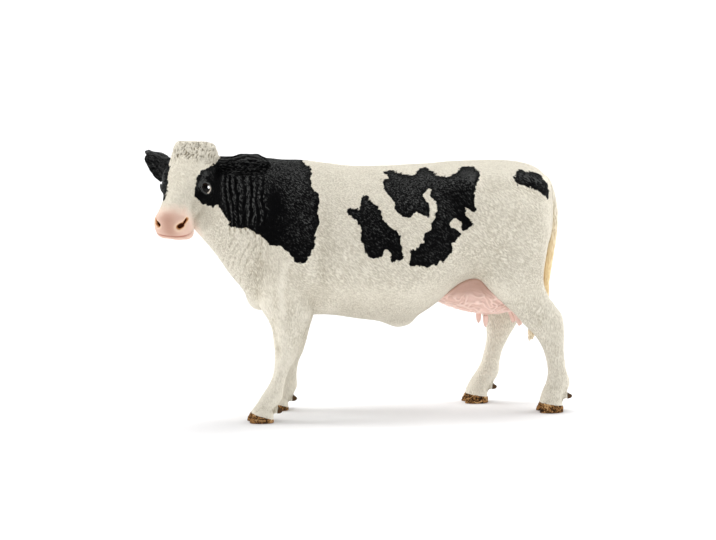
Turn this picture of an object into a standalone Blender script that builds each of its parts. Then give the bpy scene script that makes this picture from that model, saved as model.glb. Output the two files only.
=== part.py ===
# A toy farm animal: a standing dairy cow, a painted figure of solid PVC mouldings.
# The mouldings plug into each other with spigots and sockets.
# Metres, +Z up. The animal looks towards -X and its left side is towards -Y.
import math

import bmesh
import bpy
import numpy as np
from mathutils import Matrix, Vector

# Driving sizes of the body
BODY_LENGTH = 0.100          # point of the chest to the pin bones
BACK_HEIGHT = 0.080          # ground to the back line
BARREL_WIDTH = 0.040         # widest part of the belly
NECK_WIDTH = 0.020

# Driving sizes of the head
HEAD_LENGTH = 0.0275         # poll to nose
HEAD_WIDTH = 0.0155          # across the eyes
HEAD_DEPTH = 0.0155          # forehead to jaw
POLL_RISE = 0.0025           # the poll, above the back line
POLL_ASIDE = 0.0096          # the poll, to the left of the middle plane
POLL_FORWARD_SHARE = 0.530   # of the body's length, ahead of its middle
HEAD_YAW = math.radians(53)  # the head is turned to the animal's left
HEAD_PITCH = math.radians(52)
EAR_LENGTH = 0.0160
EAR_WIDTH = 0.0060
EAR_THICKNESS = 0.0016
EYE_DIAMETER = 0.0044
EYE_SETTING = 0.0007         # how far the eyeball stands out of the head
NOSTRIL_WIDTH = 0.0016
NOSTRIL_DEPTH = 0.0013

# Driving sizes of the legs
FRONT_LEG_DEPTH = 0.0125     # front to back at the elbow
FRONT_LEG_WIDTH = 0.0095
FRONT_TRACK = 0.0205         # between the middles of the two front feet
HIND_LEG_DEPTH = 0.0200
HIND_LEG_WIDTH = 0.0100
HIND_TRACK = 0.0215
CLAW_LENGTH = 0.0076
CLAW_WIDTH = 0.0041
CLAW_HEIGHT = 0.0031
CLAW_CLEFT = 0.0005
DEWCLAW_DIAMETER = 0.0017
FRONT_LEG_SHARE = 0.500      # of the back's height, up to the elbow
HIND_LEG_SHARE = 0.625       # up to the stifle
# Where each foot stands along the body, as a share of its length
LEFT_FRONT_FOOT_SHARE = -0.331
RIGHT_FRONT_FOOT_SHARE = -0.246
LEFT_HIND_FOOT_SHARE = 0.570
RIGHT_HIND_FOOT_SHARE = 0.387

# Driving sizes of the udder and the tail
UDDER_LENGTH = 0.027
UDDER_WIDTH = 0.0175
UDDER_DROP = 0.0135
UDDER_SEAT = 0.0022          # how far its base lies above the belly line
UDDER_MIDDLE_SHARE = 0.365   # of the body's length
TEAT_LENGTH = 0.0056
TEAT_DIAMETER = 0.0020
TEAT_OVERLAP = 0.0018        # how far a teat starts inside the udder
TAIL_DIAMETER = 0.0026
SWITCH_DIAMETER = 0.0042

# Joints between the mouldings
CEMENT_GAP = 0.0003
FRONT_SEAM_SHARE = 0.75      # of the leg's height
HIND_SEAM_SHARE = 0.68
# The middle of the neck's seam: ahead, to the left and up, in body lengths, neck widths
# and back heights
NECK_SEAM_SHARES = (0.390, 0.20, 0.825)
NECK_TURN = math.radians(15)
NECK_RISE = math.radians(27)
LEG_SPIGOT_DIAMETER = 0.0040
LEG_SPIGOT_LENGTH = 0.0060
NECK_SPIGOT_DIAMETER = 0.0080
NECK_SPIGOT_LENGTH = 0.0080
UDDER_SPIGOT_DIAMETER = 0.0040
UDDER_SPIGOT_LENGTH = 0.0040
SMALL_SPIGOT_DIAMETER = 0.0016
SMALL_SPIGOT_LENGTH = 0.0025
CUT_OVERRUN = 0.0050
REGION_SHARE = 0.75          # how far a leg's cut reaches to either side of its middle
SPIGOT_ROOT_SHARE = 0.5      # of a spigot's length, lying in its own moulding
EAR_SPIGOT_SHARE = 0.22      # of the ear's length, where its spigot starts
UDDER_SPIGOT_SHARE = 0.6     # of the udder's drop, where its spigot starts
WELD = 0.00001

# Fineness of the sculpted surface
CLAY_VOXEL = 0.00065
SKIN_BLEND_ROUNDS = 8
BODY_BLEND_ROUNDS = 30
HEAD_SHARP_SHARE = 0.6       # of the head's length round the poll, which stays sharper
RING_POINTS = 32
CLAW_POINTS = 14
EAR_POINTS = 14
UDDER_POINTS = 28
TEAT_POINTS = 12
BAR_POINTS = 16
BALL_POINTS = 24
EYE_POINTS = 14
DEWCLAW_POINTS = 8
ROW_COUNT = 4                # rows made for each row of a table
SMALL_ROW_COUNT = 2
# How many triangles the whole sculpture is thinned to, for each kind of moulding
TORSO_CLAY_FACES = 4600
HEAD_CLAY_FACES = 11500
LEG_CLAY_FACES = 8200

WHITE = (0.80, 0.76, 0.68)
BLACK = (0.012, 0.012, 0.013)
UDDER_PINK = (0.72, 0.42, 0.36)
COAT_ROUGHNESS = 0.62
SKIN_ROUGHNESS = 0.45

# Along the body, back line, belly line, half width, height of the widest place, then the
# roundness above and below it. Shares of the body length, back height and barrel width.
torso_shares = (
    (-0.38, 0.85, 0.54, 0.12, 0.67, 2.0, 2.0),
    (-0.36, 0.895, 0.49, 0.22, 0.67, 1.9, 2.0),
    (-0.31, 0.955, 0.43, 0.32, 0.67, 1.8, 2.0),
    (-0.25, 0.977, 0.408, 0.370, 0.66, 1.7, 2.0),
    (-0.19, 0.982, 0.400, 0.400, 0.65, 1.7, 2.1),
    (-0.10, 0.964, 0.394, 0.435, 0.64, 1.9, 2.1),
    (-0.02, 0.951, 0.377, 0.465, 0.62, 2.0, 2.1),
    (0.07, 0.949, 0.362, 0.487, 0.61, 2.1, 2.1),
    (0.15, 0.951, 0.362, 0.495, 0.62, 2.3, 2.1),
    (0.22, 0.953, 0.410, 0.475, 0.65, 2.6, 2.1),
    (0.29, 0.956, 0.485, 0.440, 0.71, 3.2, 2.3),
    (0.36, 0.957, 0.510, 0.415, 0.74, 3.4, 2.6),
    (0.44, 0.957, 0.515, 0.390, 0.76, 3.2, 2.6),
    (0.51, 0.949, 0.535, 0.340, 0.76, 3.0, 2.4),
    (0.56, 0.923, 0.580, 0.260, 0.76, 2.6, 2.2),
    (0.595, 0.860, 0.650, 0.130, 0.75, 2.2, 2.0),
)

# Crest point and throat point, each along the body, aside and up, then the half width.
# Shares of the body length, the neck width and the back height.
neck_shares = (
    ((-0.18, 0.00, 0.97), (-0.22, 0.00, 0.42), 0.66),
    ((-0.26, -0.05, 0.985), (-0.30, -0.10, 0.42), 0.62),
    ((-0.32, -0.10, 0.995), (-0.36, -0.22, 0.475), 0.56),
    ((-0.38, -0.17, 1.000), (-0.413, -0.36, 0.55), 0.48),
    ((-0.44, -0.27, 1.004), (-0.462, -0.50, 0.64), 0.40),
    ((-0.49, -0.38, 1.004), (-0.51, -0.66, 0.71), 0.34),
    ((-0.525, -0.46, 1.002), (-0.548, -0.86, 0.77), 0.26),
)
NECK_WIDEST_SHARE = 0.58     # of the neck's height, where it is widest
CREST_ROUNDNESS = 2.0
THROAT_ROUNDNESS = 1.7

# Along the head from the poll to the nose, face line, jaw line, half width, height of
# the widest place, roundness above and below. Shares of the head's length, depth, width.
head_shares = (
    (-0.12, -0.10, -0.50, 0.26, -0.30, 2.0, 2.0),
    (-0.04, 0.06, -0.64, 0.41, -0.25, 2.3, 2.0),
    (0.08, 0.13, -0.80, 0.47, -0.24, 2.5, 2.3),
    (0.20, 0.16, -0.92, 0.50, -0.24, 2.5, 2.5),
    (0.32, 0.17, -1.00, 0.53, -0.26, 2.5, 2.6),
    (0.43, 0.17, -0.99, 0.52, -0.28, 2.4, 2.6),
    (0.53, 0.17, -0.88, 0.44, -0.28, 2.3, 2.4),
    (0.63, 0.16, -0.75, 0.365, -0.25, 2.2, 2.2),
    (0.74, 0.155, -0.64, 0.325, -0.22, 2.2, 2.3),
    (0.83, 0.155, -0.57, 0.350, -0.20, 2.3, 2.5),
    (0.89, 0.115, -0.54, 0.390, -0.20, 2.4, 2.6),
    (0.94, 0.03, -0.51, 0.390, -0.22, 2.4, 2.6),
    (0.98, -0.08, -0.47, 0.34, -0.26, 2.3, 2.4),
    (1.005, -0.20, -0.40, 0.20, -0.30, 2.2, 2.2),
)

# Hair of the poll, then the chin: the middle of each swelling along the head, aside and up,
# then its half sizes across, along and through the head.
head_ball_shares = (
    ((-0.045, 0, -0.04), (0.44, 0.105, 0.22)),
    ((0.06, 0, 0.06), (0.42, 0.14, 0.11)),
    ((0.86, 0, -0.50), (0.26, 0.11, 0.10)),
)

# Height, how far the left and the right leg are there behind their foot, front-to-back
# size, width, place aside of the foot. Shares of the leg's height, depth and width.
front_leg_shares = (
    (1.70, 0.230, 0.120, 0.90, 0.80, -0.30),
    (1.50, 0.210, 0.105, 1.12, 0.98, -0.22),
    (1.30, 0.200, 0.095, 1.26, 1.02, -0.17),
    (1.15, 0.200, 0.095, 1.32, 1.04, -0.14),
    (1.00, 0.205, 0.100, 1.24, 1.02, -0.12),
    (0.86, 0.210, 0.112, 1.08, 0.96, -0.12),
    (0.74, 0.204, 0.128, 0.93, 0.86, -0.12),
    (0.64, 0.204, 0.136, 0.80, 0.74, -0.10),
    (0.56, 0.202, 0.140, 0.67, 0.64, -0.09),
    (0.49, 0.195, 0.137, 0.57, 0.60, -0.08),
    (0.44, 0.182, 0.133, 0.50, 0.54, -0.07),
    (0.39, 0.164, 0.125, 0.39, 0.44, -0.06),
    (0.31, 0.138, 0.107, 0.39, 0.41, -0.05),
    (0.24, 0.108, 0.093, 0.46, 0.46, -0.03),
    (0.19, 0.088, 0.084, 0.57, 0.56, -0.02),
    (0.145, 0.062, 0.068, 0.56, 0.60, 0.0),
    (0.10, 0.028, 0.040, 0.56, 0.72, 0.0),
    (0.055, 0.008, 0.012, 0.58, 0.82, 0.0),
)
hind_leg_shares = (
    (1.45, -0.215, 0.110, 1.05, 0.85, -0.24),
    (1.20, -0.225, 0.100, 1.16, 1.04, -0.12),
    (1.00, -0.235, 0.106, 1.10, 1.08, -0.09),
    (0.83, -0.240, 0.124, 0.98, 1.02, -0.08),
    (0.74, -0.190, 0.144, 0.86, 0.90, -0.07),
    (0.66, -0.125, 0.160, 0.78, 0.78, -0.06),
    (0.60, -0.070, 0.168, 0.74, 0.68, -0.06),
    (0.54, -0.040, 0.168, 0.64, 0.62, -0.04),
    (0.47, -0.002, 0.160, 0.48, 0.54, -0.03),
    (0.39, 0.020, 0.138, 0.35, 0.45, -0.02),
    (0.31, 0.035, 0.112, 0.31, 0.41, 0.0),
    (0.24, 0.046, 0.095, 0.32, 0.43, 0.0),
    (0.18, 0.052, 0.074, 0.40, 0.52, 0.0),
    (0.14, 0.036, 0.050, 0.41, 0.56, 0.0),
    (0.10, 0.018, 0.022, 0.38, 0.68, 0.0),
    (0.045, 0.002, 0.004, 0.37, 0.78, 0.0),
)

# Muscles, bone points and hollows: a line of places, then how wide and how high the skin
# is raised or lowered along it. The places are shares of the body length, barrel width
# and back height, and the rest are shares of the body length.
body_mark_shares = (
    (((-0.215, 0.36, 0.86), (-0.245, 0.38, 0.68), (-0.28, 0.38, 0.55)), 0.070, 0.010),
    (((0.42, 0.36, 0.80), (0.46, 0.36, 0.66), (0.46, 0.38, 0.55)), 0.090, 0.008),
    (((0.39, 0.36, 0.57), (0.42, 0.38, 0.49)), 0.050, 0.008),
    (((0.315, 0.37, 0.905),), 0.028, 0.012),
    (((0.565, 0.16, 0.865),), 0.025, 0.008),
    (((0.24, 0.36, 0.93), (0.08, 0.38, 0.93)), 0.020, 0.004),
    (((0.38, 0.38, 0.87), (0.50, 0.32, 0.86)), 0.030, -0.008),
    (((0.245, 0.45, 0.86), (0.28, 0.40, 0.76)), 0.035, -0.010),
    (((-0.15, 0.40, 0.80), (-0.14, 0.45, 0.65), (-0.155, 0.42, 0.50)), 0.030, -0.007),
    (((-0.29, 0.34, 0.84), (-0.335, 0.34, 0.68), (-0.345, 0.30, 0.56)), 0.030, -0.008),
    (((0.30, 0.36, 0.53), (0.27, 0.36, 0.57)), 0.018, 0.006),
    (((0.085, 0.00, 0.355), (0.145, 0.00, 0.350)), 0.020, 0.006),
)

# The same on the head, in shares of its length, width and depth: along, aside, up.
head_mark_shares = (
    (((0.30, 0.42, 0.06), (0.38, 0.46, 0.06), (0.47, 0.44, 0.05)), 0.045, 0.022),
    (((0.425, 0.52, -0.10),), 0.070, -0.008),
    (((0.56, 0.40, -0.10), (0.66, 0.36, -0.12)), 0.050, -0.014),
    (((0.42, 0.42, -0.45), (0.52, 0.38, -0.42)), 0.090, 0.020),
    (((0.62, 0.34, -0.42), (0.74, 0.32, -0.38)), 0.060, -0.016),
    (((1.00, 0.0, -0.38), (0.98, 0.20, -0.38), (0.92, 0.36, -0.37), (0.82, 0.40, -0.35)),
     0.018, -0.018),
    (((0.86, 0.30, 0.12), (0.86, 0.40, 0.00)), 0.040, 0.012),
)

# The nostril's slit, from its inner to its outer end, and the middle of the eye.
nostril_shares = ((0.955, 0.22, -0.03), (0.925, 0.31, 0.01), (0.885, 0.375, 0.04))
EYE_SHARES = (0.425, 0.495, -0.08)
EYE_LOOK_SHARES = (0.85, 0.50)   # which way the eye faces: outwards and up the forehead

# Folds of the neck: upper and lower end, each along the body, aside and up.
neck_fold_shares = (
    ((-0.43, -0.30, 0.94), (-0.475, -0.56, 0.72)),
    ((-0.405, -0.27, 0.93), (-0.45, -0.54, 0.68)),
    ((-0.38, -0.25, 0.92), (-0.42, -0.50, 0.64)),
    ((-0.35, -0.24, 0.90), (-0.39, -0.46, 0.60)),
)
NECK_FOLD_WIDTH = 0.0011
NECK_FOLD_DEPTH = 0.0006

# Along the ear, its half width, how far it bends and its half thickness; shares of the
# ear's length, width and thickness.
ear_shares = (
    (-0.30, 0.24, 0.00, 0.50),
    (-0.10, 0.28, 0.00, 0.50),
    (0.12, 0.36, -0.01, 0.50),
    (0.34, 0.49, -0.02, 0.50),
    (0.56, 0.54, 0.00, 0.50),
    (0.76, 0.47, 0.05, 0.50),
    (0.90, 0.32, 0.10, 0.40),
    (1.00, 0.10, 0.14, 0.20),
)
EAR_BREADTH_SHARES = (0.50, -0.87)   # which way the ear is broad: up the forehead, forwards
# Where the ear leaves the head, then the way it points: along the head, aside and up.
LEFT_EAR_ROOT_SHARES = (0.07, 0.42, -0.35)
LEFT_EAR_WAY_SHARES = (-0.21, 0.90, -0.25)
RIGHT_EAR_ROOT_SHARES = (0.15, -0.48, -0.36)
RIGHT_EAR_WAY_SHARES = (-0.48, -0.86, -0.24)
EAR_HOLLOW_SHARE = 0.60

# The tail's own line: along the body, aside and up, then its thickness.
tail_shares = (
    (0.515, 0.00, 0.790, 1.20),
    (0.542, 0.00, 0.845, 1.30),
    (0.566, 0.00, 0.878, 1.35),
    (0.582, 0.00, 0.868, 1.20),
    (0.593, 0.00, 0.838, 1.05),
    (0.601, 0.00, 0.797, 0.94),
    (0.605, 0.00, 0.750, 0.88),
    (0.600, 0.01, 0.690, 0.84),
    (0.592, 0.01, 0.630, 0.80),
    (0.583, 0.01, 0.570, 0.78),
    (0.578, 0.01, 0.510, 0.80),
    (0.574, 0.00, 0.450, 1.00),
    (0.566, 0.00, 0.390, 1.35),
    (0.555, 0.00, 0.335, 1.40),
    (0.543, 0.00, 0.290, 1.00),
    (0.535, 0.00, 0.260, 0.40),
)
TAIL_ROOT_SHARES = (0.600, 0.00, 0.806)
TAIL_SPIGOT_WAY_SHARES = (-1.00, 0.00, -0.10)

# Down the udder: level below its base, its length and width there and how far that level
# lies behind its middle. Shares of the udder's drop, length and width.
udder_shares = (
    (-0.25, 0.90, 0.80, 0.00),
    (0.20, 1.04, 0.95, 0.00),
    (0.48, 1.05, 1.00, 0.00),
    (0.64, 1.00, 1.00, 0.02),
    (0.79, 0.84, 0.93, 0.08),
    (0.91, 0.60, 0.76, 0.13),
    (1.00, 0.26, 0.36, 0.16),
)
UDDER_ROUNDNESS = 2.2
# Each teat, along and across the udder.
teat_shares = ((0.06, 0.25), (0.40, 0.21))
# From the tip of a teat up: level and thickness.
teat_profile_shares = ((0.00, 0.45), (0.07, 0.80), (0.25, 0.95), (0.60, 1.00), (1.00, 1.25))

# Each claw from the sole up: level, its reach to the toe and to the heel and its width.
# Shares of the claw's height, length and width.
claw_shares = (
    (0.00, 0.51, 0.47, 0.98),
    (0.25, 0.49, 0.47, 1.00),
    (0.95, 0.33, 0.45, 0.88),
    (1.30, 0.10, 0.34, 0.60),
)
FRONT_DEWCLAW_SHARES = (0.66, 0.36, 1.10)   # behind the foot, aside, up: in claw sizes
HIND_DEWCLAW_SHARES = (0.70, 0.36, 1.55)
DEWCLAW_STRETCH_SHARES = (1.9, 1.0, 1.1)
TOE_ROUNDNESS = 1.8
HEEL_ROUNDNESS = 2.3

FRONT_LEG_HEIGHT = FRONT_LEG_SHARE * BACK_HEIGHT
HIND_LEG_HEIGHT = HIND_LEG_SHARE * BACK_HEIGHT
FRONT_SEAM_HEIGHT = FRONT_SEAM_SHARE * FRONT_LEG_HEIGHT
HIND_SEAM_HEIGHT = HIND_SEAM_SHARE * HIND_LEG_HEIGHT

feet = (
    {"name": "left_front_leg", "shares": front_leg_shares, "height": FRONT_LEG_HEIGHT,
     "depth": FRONT_LEG_DEPTH, "width": FRONT_LEG_WIDTH, "along": LEFT_FRONT_FOOT_SHARE * BODY_LENGTH,
     "aside": -FRONT_TRACK / 2, "seam": FRONT_SEAM_HEIGHT, "dewclaw": FRONT_DEWCLAW_SHARES},
    {"name": "right_front_leg", "shares": front_leg_shares, "height": FRONT_LEG_HEIGHT,
     "depth": FRONT_LEG_DEPTH, "width": FRONT_LEG_WIDTH, "along": RIGHT_FRONT_FOOT_SHARE * BODY_LENGTH,
     "aside": FRONT_TRACK / 2, "seam": FRONT_SEAM_HEIGHT, "dewclaw": FRONT_DEWCLAW_SHARES},
    {"name": "left_hind_leg", "shares": hind_leg_shares, "height": HIND_LEG_HEIGHT,
     "depth": HIND_LEG_DEPTH, "width": HIND_LEG_WIDTH, "along": LEFT_HIND_FOOT_SHARE * BODY_LENGTH,
     "aside": -HIND_TRACK / 2, "seam": HIND_SEAM_HEIGHT, "dewclaw": HIND_DEWCLAW_SHARES},
    {"name": "right_hind_leg", "shares": hind_leg_shares, "height": HIND_LEG_HEIGHT,
     "depth": HIND_LEG_DEPTH, "width": HIND_LEG_WIDTH, "along": RIGHT_HIND_FOOT_SHARE * BODY_LENGTH,
     "aside": HIND_TRACK / 2, "seam": HIND_SEAM_HEIGHT, "dewclaw": HIND_DEWCLAW_SHARES},
)


def clear_scene():
    for thing in list(bpy.data.objects):
        bpy.data.objects.remove(thing, do_unlink=True)


def new_collection(name):
    group = bpy.data.collections.new(name)
    bpy.context.scene.collection.children.link(group)
    return group


def place(name, mesh, group):
    thing = bpy.data.objects.new(name, mesh)
    group.objects.link(thing)
    return thing


def mesh_of(bm, name):
    bm.normal_update()
    bmesh.ops.recalc_face_normals(bm, faces=bm.faces)
    mesh = bpy.data.meshes.new(name)
    bm.to_mesh(mesh)
    bm.free()
    return mesh


def baked(thing):
    # The object's mesh with its modifiers applied
    graph = bpy.context.evaluated_depsgraph_get()
    return bpy.data.meshes.new_from_object(thing.evaluated_get(graph))


def smooth_rows(rows, steps=ROW_COUNT):
    # More rows between the given ones, on a smooth curve through them
    rows = np.array(rows, float)
    padded = np.vstack([2 * rows[0] - rows[1], rows, 2 * rows[-1] - rows[-2]])
    out = []
    for k in range(1, len(rows)):
        a, b, c, d = padded[k - 1:k + 3]
        for step in range(steps):
            t = step / steps
            out.append(0.5 * (2 * b + (c - a) * t + (2 * a - 5 * b + 4 * c - d) * t ** 2
                              + (3 * b - a - 3 * c + d) * t ** 3))
    out.append(rows[-1])
    return out


def signed_power(value, power):
    return math.copysign(abs(value) ** power, value)


def ring(centre, side, up, half_width, above, below, round_above=2.0, round_below=2.0,
         count=RING_POINTS):
    # A closed outline whose upper and lower halves have their own height and roundness
    points = []
    for k in range(count):
        angle = 2 * math.pi * k / count
        upper = math.sin(angle) >= 0
        roundness = round_above if upper else round_below
        across = half_width * signed_power(math.cos(angle), 2 / roundness)
        height = (above if upper else below) * signed_power(math.sin(angle), 2 / roundness)
        points.append(centre + side * across + up * height)
    return points


def add_loft(bm, rings):
    loops = [[bm.verts.new(point) for point in points] for points in rings]
    count = len(loops[0])
    for one, two in zip(loops, loops[1:]):
        for k in range(count):
            bm.faces.new((one[k], one[(k + 1) % count], two[(k + 1) % count], two[k]))
    for loop in (loops[0], loops[-1]):
        middle = bm.verts.new(sum((v.co for v in loop), Vector()) / count)
        for k in range(count):
            bm.faces.new((loop[k], loop[(k + 1) % count], middle))


def add_ball(bm, centre, half_sizes, turn=None, fineness=BALL_POINTS):
    matrix = Matrix.Translation(centre)
    if turn:
        matrix = matrix @ turn
    matrix = matrix @ Matrix.Diagonal((*half_sizes, 1))
    bmesh.ops.create_uvsphere(bm, u_segments=fineness, v_segments=fineness // 2, radius=1,
                              matrix=matrix)


def add_round_bar(bm, start, direction, length, diameter):
    turn = direction.to_track_quat("Z", "Y").to_matrix().to_4x4()
    matrix = Matrix.Translation(start + direction * length / 2) @ turn
    bmesh.ops.create_cone(bm, cap_ends=True, segments=BAR_POINTS, radius1=diameter / 2,
                          radius2=diameter / 2, depth=length, matrix=matrix)


def body_point(shares):
    along, aside, up = shares
    return Vector((along * BODY_LENGTH, aside * BARREL_WIDTH, up * BACK_HEIGHT))


def neck_point(shares):
    along, aside, up = shares
    return Vector((along * BODY_LENGTH, aside * NECK_WIDTH, up * BACK_HEIGHT))


# The head's own axes: forwards along the face, to the animal's left, out of the forehead
HEAD_FORWARD = Vector((-math.cos(HEAD_YAW) * math.cos(HEAD_PITCH),
                       -math.sin(HEAD_YAW) * math.cos(HEAD_PITCH),
                       -math.sin(HEAD_PITCH)))
HEAD_LEFT = Vector((math.sin(HEAD_YAW), -math.cos(HEAD_YAW), 0))
HEAD_UP = HEAD_LEFT.cross(HEAD_FORWARD) * -1
POLL = Vector((-POLL_FORWARD_SHARE * BODY_LENGTH, -POLL_ASIDE, BACK_HEIGHT + POLL_RISE))


def neck_seam_point():
    ahead, aside, up = NECK_SEAM_SHARES
    return Vector((-ahead * BODY_LENGTH, -aside * NECK_WIDTH, up * BACK_HEIGHT))


def udder_base():
    # The middle of the udder's base, a little above the belly line
    rows = np.array(torso_shares)
    belly = np.interp(UDDER_MIDDLE_SHARE, rows[:, 0], rows[:, 2]) * BACK_HEIGHT
    return Vector((UDDER_MIDDLE_SHARE * BODY_LENGTH, 0, belly + UDDER_SEAT))


def head_point(shares):
    along, aside, up = shares
    return (POLL + HEAD_FORWARD * along * HEAD_LENGTH + HEAD_LEFT * aside * HEAD_WIDTH
            + HEAD_UP * up * HEAD_DEPTH)


def add_torso(bm):
    rings = []
    for along, top, bottom, half, widest, above, below in smooth_rows(torso_shares):
        centre = Vector((along * BODY_LENGTH, 0, widest * BACK_HEIGHT))
        rings.append(ring(centre, Vector((0, 1, 0)), Vector((0, 0, 1)),
                          half * BARREL_WIDTH, (top - widest) * BACK_HEIGHT,
                          (widest - bottom) * BACK_HEIGHT, above, below))
    add_loft(bm, rings)


def add_neck(bm):
    rows = [(*crest, *throat, half) for crest, throat, half in neck_shares]
    rings = []
    rows = smooth_rows(rows)
    middles = [(neck_point(row[0:3]) + neck_point(row[3:6])) / 2 for row in rows]
    for k, row in enumerate(rows):
        crest = neck_point(row[0:3])
        throat = neck_point(row[3:6])
        ahead = middles[min(k + 1, len(rows) - 1)] - middles[max(k - 1, 0)]
        up = (crest - throat).normalized()
        side = ahead.cross(up).normalized()
        height = (crest - throat).length
        # The widest place lies above the middle, and the throat below it is thin
        below = height * NECK_WIDEST_SHARE
        rings.append(ring(throat + up * below, side, up, row[6] * NECK_WIDTH,
                          height - below, below, CREST_ROUNDNESS, THROAT_ROUNDNESS))
    add_loft(bm, rings)


def add_head(bm):
    rings = []
    for along, face, jaw, half, widest, above, below in smooth_rows(head_shares):
        rings.append(ring(head_point((along, 0, widest)), HEAD_LEFT, HEAD_UP,
                          half * HEAD_WIDTH, (face - widest) * HEAD_DEPTH,
                          (widest - jaw) * HEAD_DEPTH, above, below))
    add_loft(bm, rings)
    turn = Matrix((HEAD_LEFT, HEAD_FORWARD, HEAD_UP)).transposed().to_4x4()
    for middle, (across, along, through) in head_ball_shares:
        sizes = (across * HEAD_WIDTH, along * HEAD_LENGTH, through * HEAD_DEPTH)
        add_ball(bm, head_point(middle), sizes, turn)


def add_leg(bm, foot):
    side = math.copysign(1, foot["aside"])
    rings = []
    for level, left, right, fore, across, inward in smooth_rows(foot["shares"]):
        behind = left if side < 0 else right
        centre = Vector((foot["along"] + behind * foot["height"],
                         foot["aside"] + side * inward * foot["width"],
                         level * foot["height"]))
        half_width = across * foot["width"] / 2
        rings.append(ring(centre, Vector((1, 0, 0)), Vector((0, 1, 0)),
                          fore * foot["depth"] / 2, half_width, half_width))
    add_loft(bm, rings)


def press(mesh, line, half_width, depth):
    # Moves the surface along its normals, near a line of points
    count = len(mesh.vertices)
    places = np.empty(count * 3)
    normals = np.empty(count * 3)
    mesh.vertices.foreach_get("co", places)
    mesh.vertex_normals.foreach_get("vector", normals)
    places = places.reshape(-1, 3)
    normals = normals.reshape(-1, 3)
    line = np.array([tuple(p) for p in line])
    if len(line) == 1:
        line = np.vstack([line, line])
    nearest = np.full(count, np.inf)
    for start, end in zip(line, line[1:]):
        run = end - start
        t = np.clip((places - start) @ run / max(run @ run, np.finfo(float).tiny), 0, 1)
        gap = np.linalg.norm(places - start - t[:, None] * run, axis=1)
        nearest = np.minimum(nearest, gap)
    push = depth * np.exp(-(nearest / half_width) ** 2)
    mesh.vertices.foreach_set("co", (places + normals * push[:, None]).ravel())
    mesh.update()


def swell(mesh, distance):
    # The same shape, larger by a distance all round
    normals = np.empty(len(mesh.vertices) * 3)
    places = np.empty(len(mesh.vertices) * 3)
    mesh.vertices.foreach_get("co", places)
    mesh.vertex_normals.foreach_get("vector", normals)
    mesh.vertices.foreach_set("co", places + normals * distance)
    mesh.update()


def make_clay(cutters):
    # The whole animal as one sculpture, which is then cut into its mouldings
    bm = bmesh.new()
    add_torso(bm)
    add_neck(bm)
    add_head(bm)
    for foot in feet:
        add_leg(bm, foot)
    clay = place("clay", mesh_of(bm, "clay"), cutters)
    remesh = clay.modifiers.new("remesh", "REMESH")
    remesh.mode = "VOXEL"
    remesh.voxel_size = CLAY_VOXEL
    blend = clay.modifiers.new("blend", "SMOOTH")
    blend.factor = 0.5
    blend.iterations = SKIN_BLEND_ROUNDS
    clay.data = baked(clay)
    clay.modifiers.clear()

    # The trunk is blended more than the thin legs and the face
    trunk = clay.vertex_groups.new(name="trunk")
    low = FRONT_SEAM_HEIGHT
    high = udder_base().z
    seam = neck_seam_point()
    for vertex in clay.data.vertices:
        by_height = min(max((vertex.co.z - low) / (high - low), 0), 1)
        from_poll = (vertex.co - POLL).length / HEAD_LENGTH
        by_head = min(max(from_poll - HEAD_SHARP_SHARE, 0), 1)
        behind_seam = (vertex.co.x - seam.x) / HEAD_LENGTH
        by_throat = min(max(behind_seam + HEAD_SHARP_SHARE, 0), 1)
        trunk.add([vertex.index], by_height * min(by_head, by_throat), "REPLACE")
    blend = clay.modifiers.new("blend", "SMOOTH")
    blend.factor = 0.5
    blend.iterations = BODY_BLEND_ROUNDS
    blend.vertex_group = "trunk"
    mesh = baked(clay)
    bpy.data.objects.remove(clay)

    for line, half_width, depth in body_mark_shares:
        for side in (-1, 1):
            points = [body_point((a, side * b, c)) for a, b, c in line]
            press(mesh, points, half_width * BODY_LENGTH, depth * BODY_LENGTH)
    for line, half_width, depth in head_mark_shares:
        for side in (-1, 1):
            points = [head_point((a, side * b, c)) for a, b, c in line]
            press(mesh, points, half_width * HEAD_LENGTH, depth * HEAD_LENGTH)
    for line in neck_fold_shares:
        press(mesh, [neck_point(p) for p in line], NECK_FOLD_WIDTH, -NECK_FOLD_DEPTH)
    for side in (-1, 1):
        nostril = [head_point((a, side * b, c)) for a, b, c in nostril_shares]
        press(mesh, nostril, NOSTRIL_WIDTH / 2, -NOSTRIL_DEPTH)
    return mesh


def thinned(mesh, faces, cutters):
    # A copy of the sculpture with about the given number of triangles
    thing = place("thinned", mesh, cutters)
    mesh.calc_loop_triangles()
    thin = thing.modifiers.new("thin", "DECIMATE")
    thin.ratio = faces / len(mesh.loop_triangles)
    thin.use_collapse_triangulate = True
    thin_mesh = baked(thing)
    bpy.data.objects.remove(thing)
    return thin_mesh


def as_cutter(name, bm, group):
    thing = place(name, mesh_of(bm, name), group)
    thing.hide_render = True
    thing.display_type = "WIRE"
    return thing


def block(low, high, turn=None):
    # A box between two corners, in a frame of its own if a turn is given
    bm = bmesh.new()
    bmesh.ops.create_cube(bm, size=1)
    size = high - low
    bm.transform(Matrix.Translation((low + high) / 2) @ Matrix.Diagonal((*size, 1)))
    if turn:
        bm.transform(turn)
    return bm


def bar(start, direction, length, diameter):
    bm = bmesh.new()
    add_round_bar(bm, start, direction, length, diameter)
    return bm


def boolean(thing, operation, operand):
    step = thing.modifiers.new(operation.lower(), "BOOLEAN")
    step.operation = operation
    if isinstance(operand, bpy.types.Collection):
        step.operand_type = "COLLECTION"
        step.collection = operand
    else:
        step.object = operand


def material(name, colour, roughness):
    finish = bpy.data.materials.new(name)
    finish.use_nodes = True
    shader = finish.node_tree.nodes["Principled BSDF"]
    shader.inputs["Base Color"].default_value = (*colour, 1)
    shader.inputs["Roughness"].default_value = roughness
    shader.inputs["Metallic"].default_value = 0
    finish.diffuse_color = (*colour, 1)
    return finish


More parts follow.
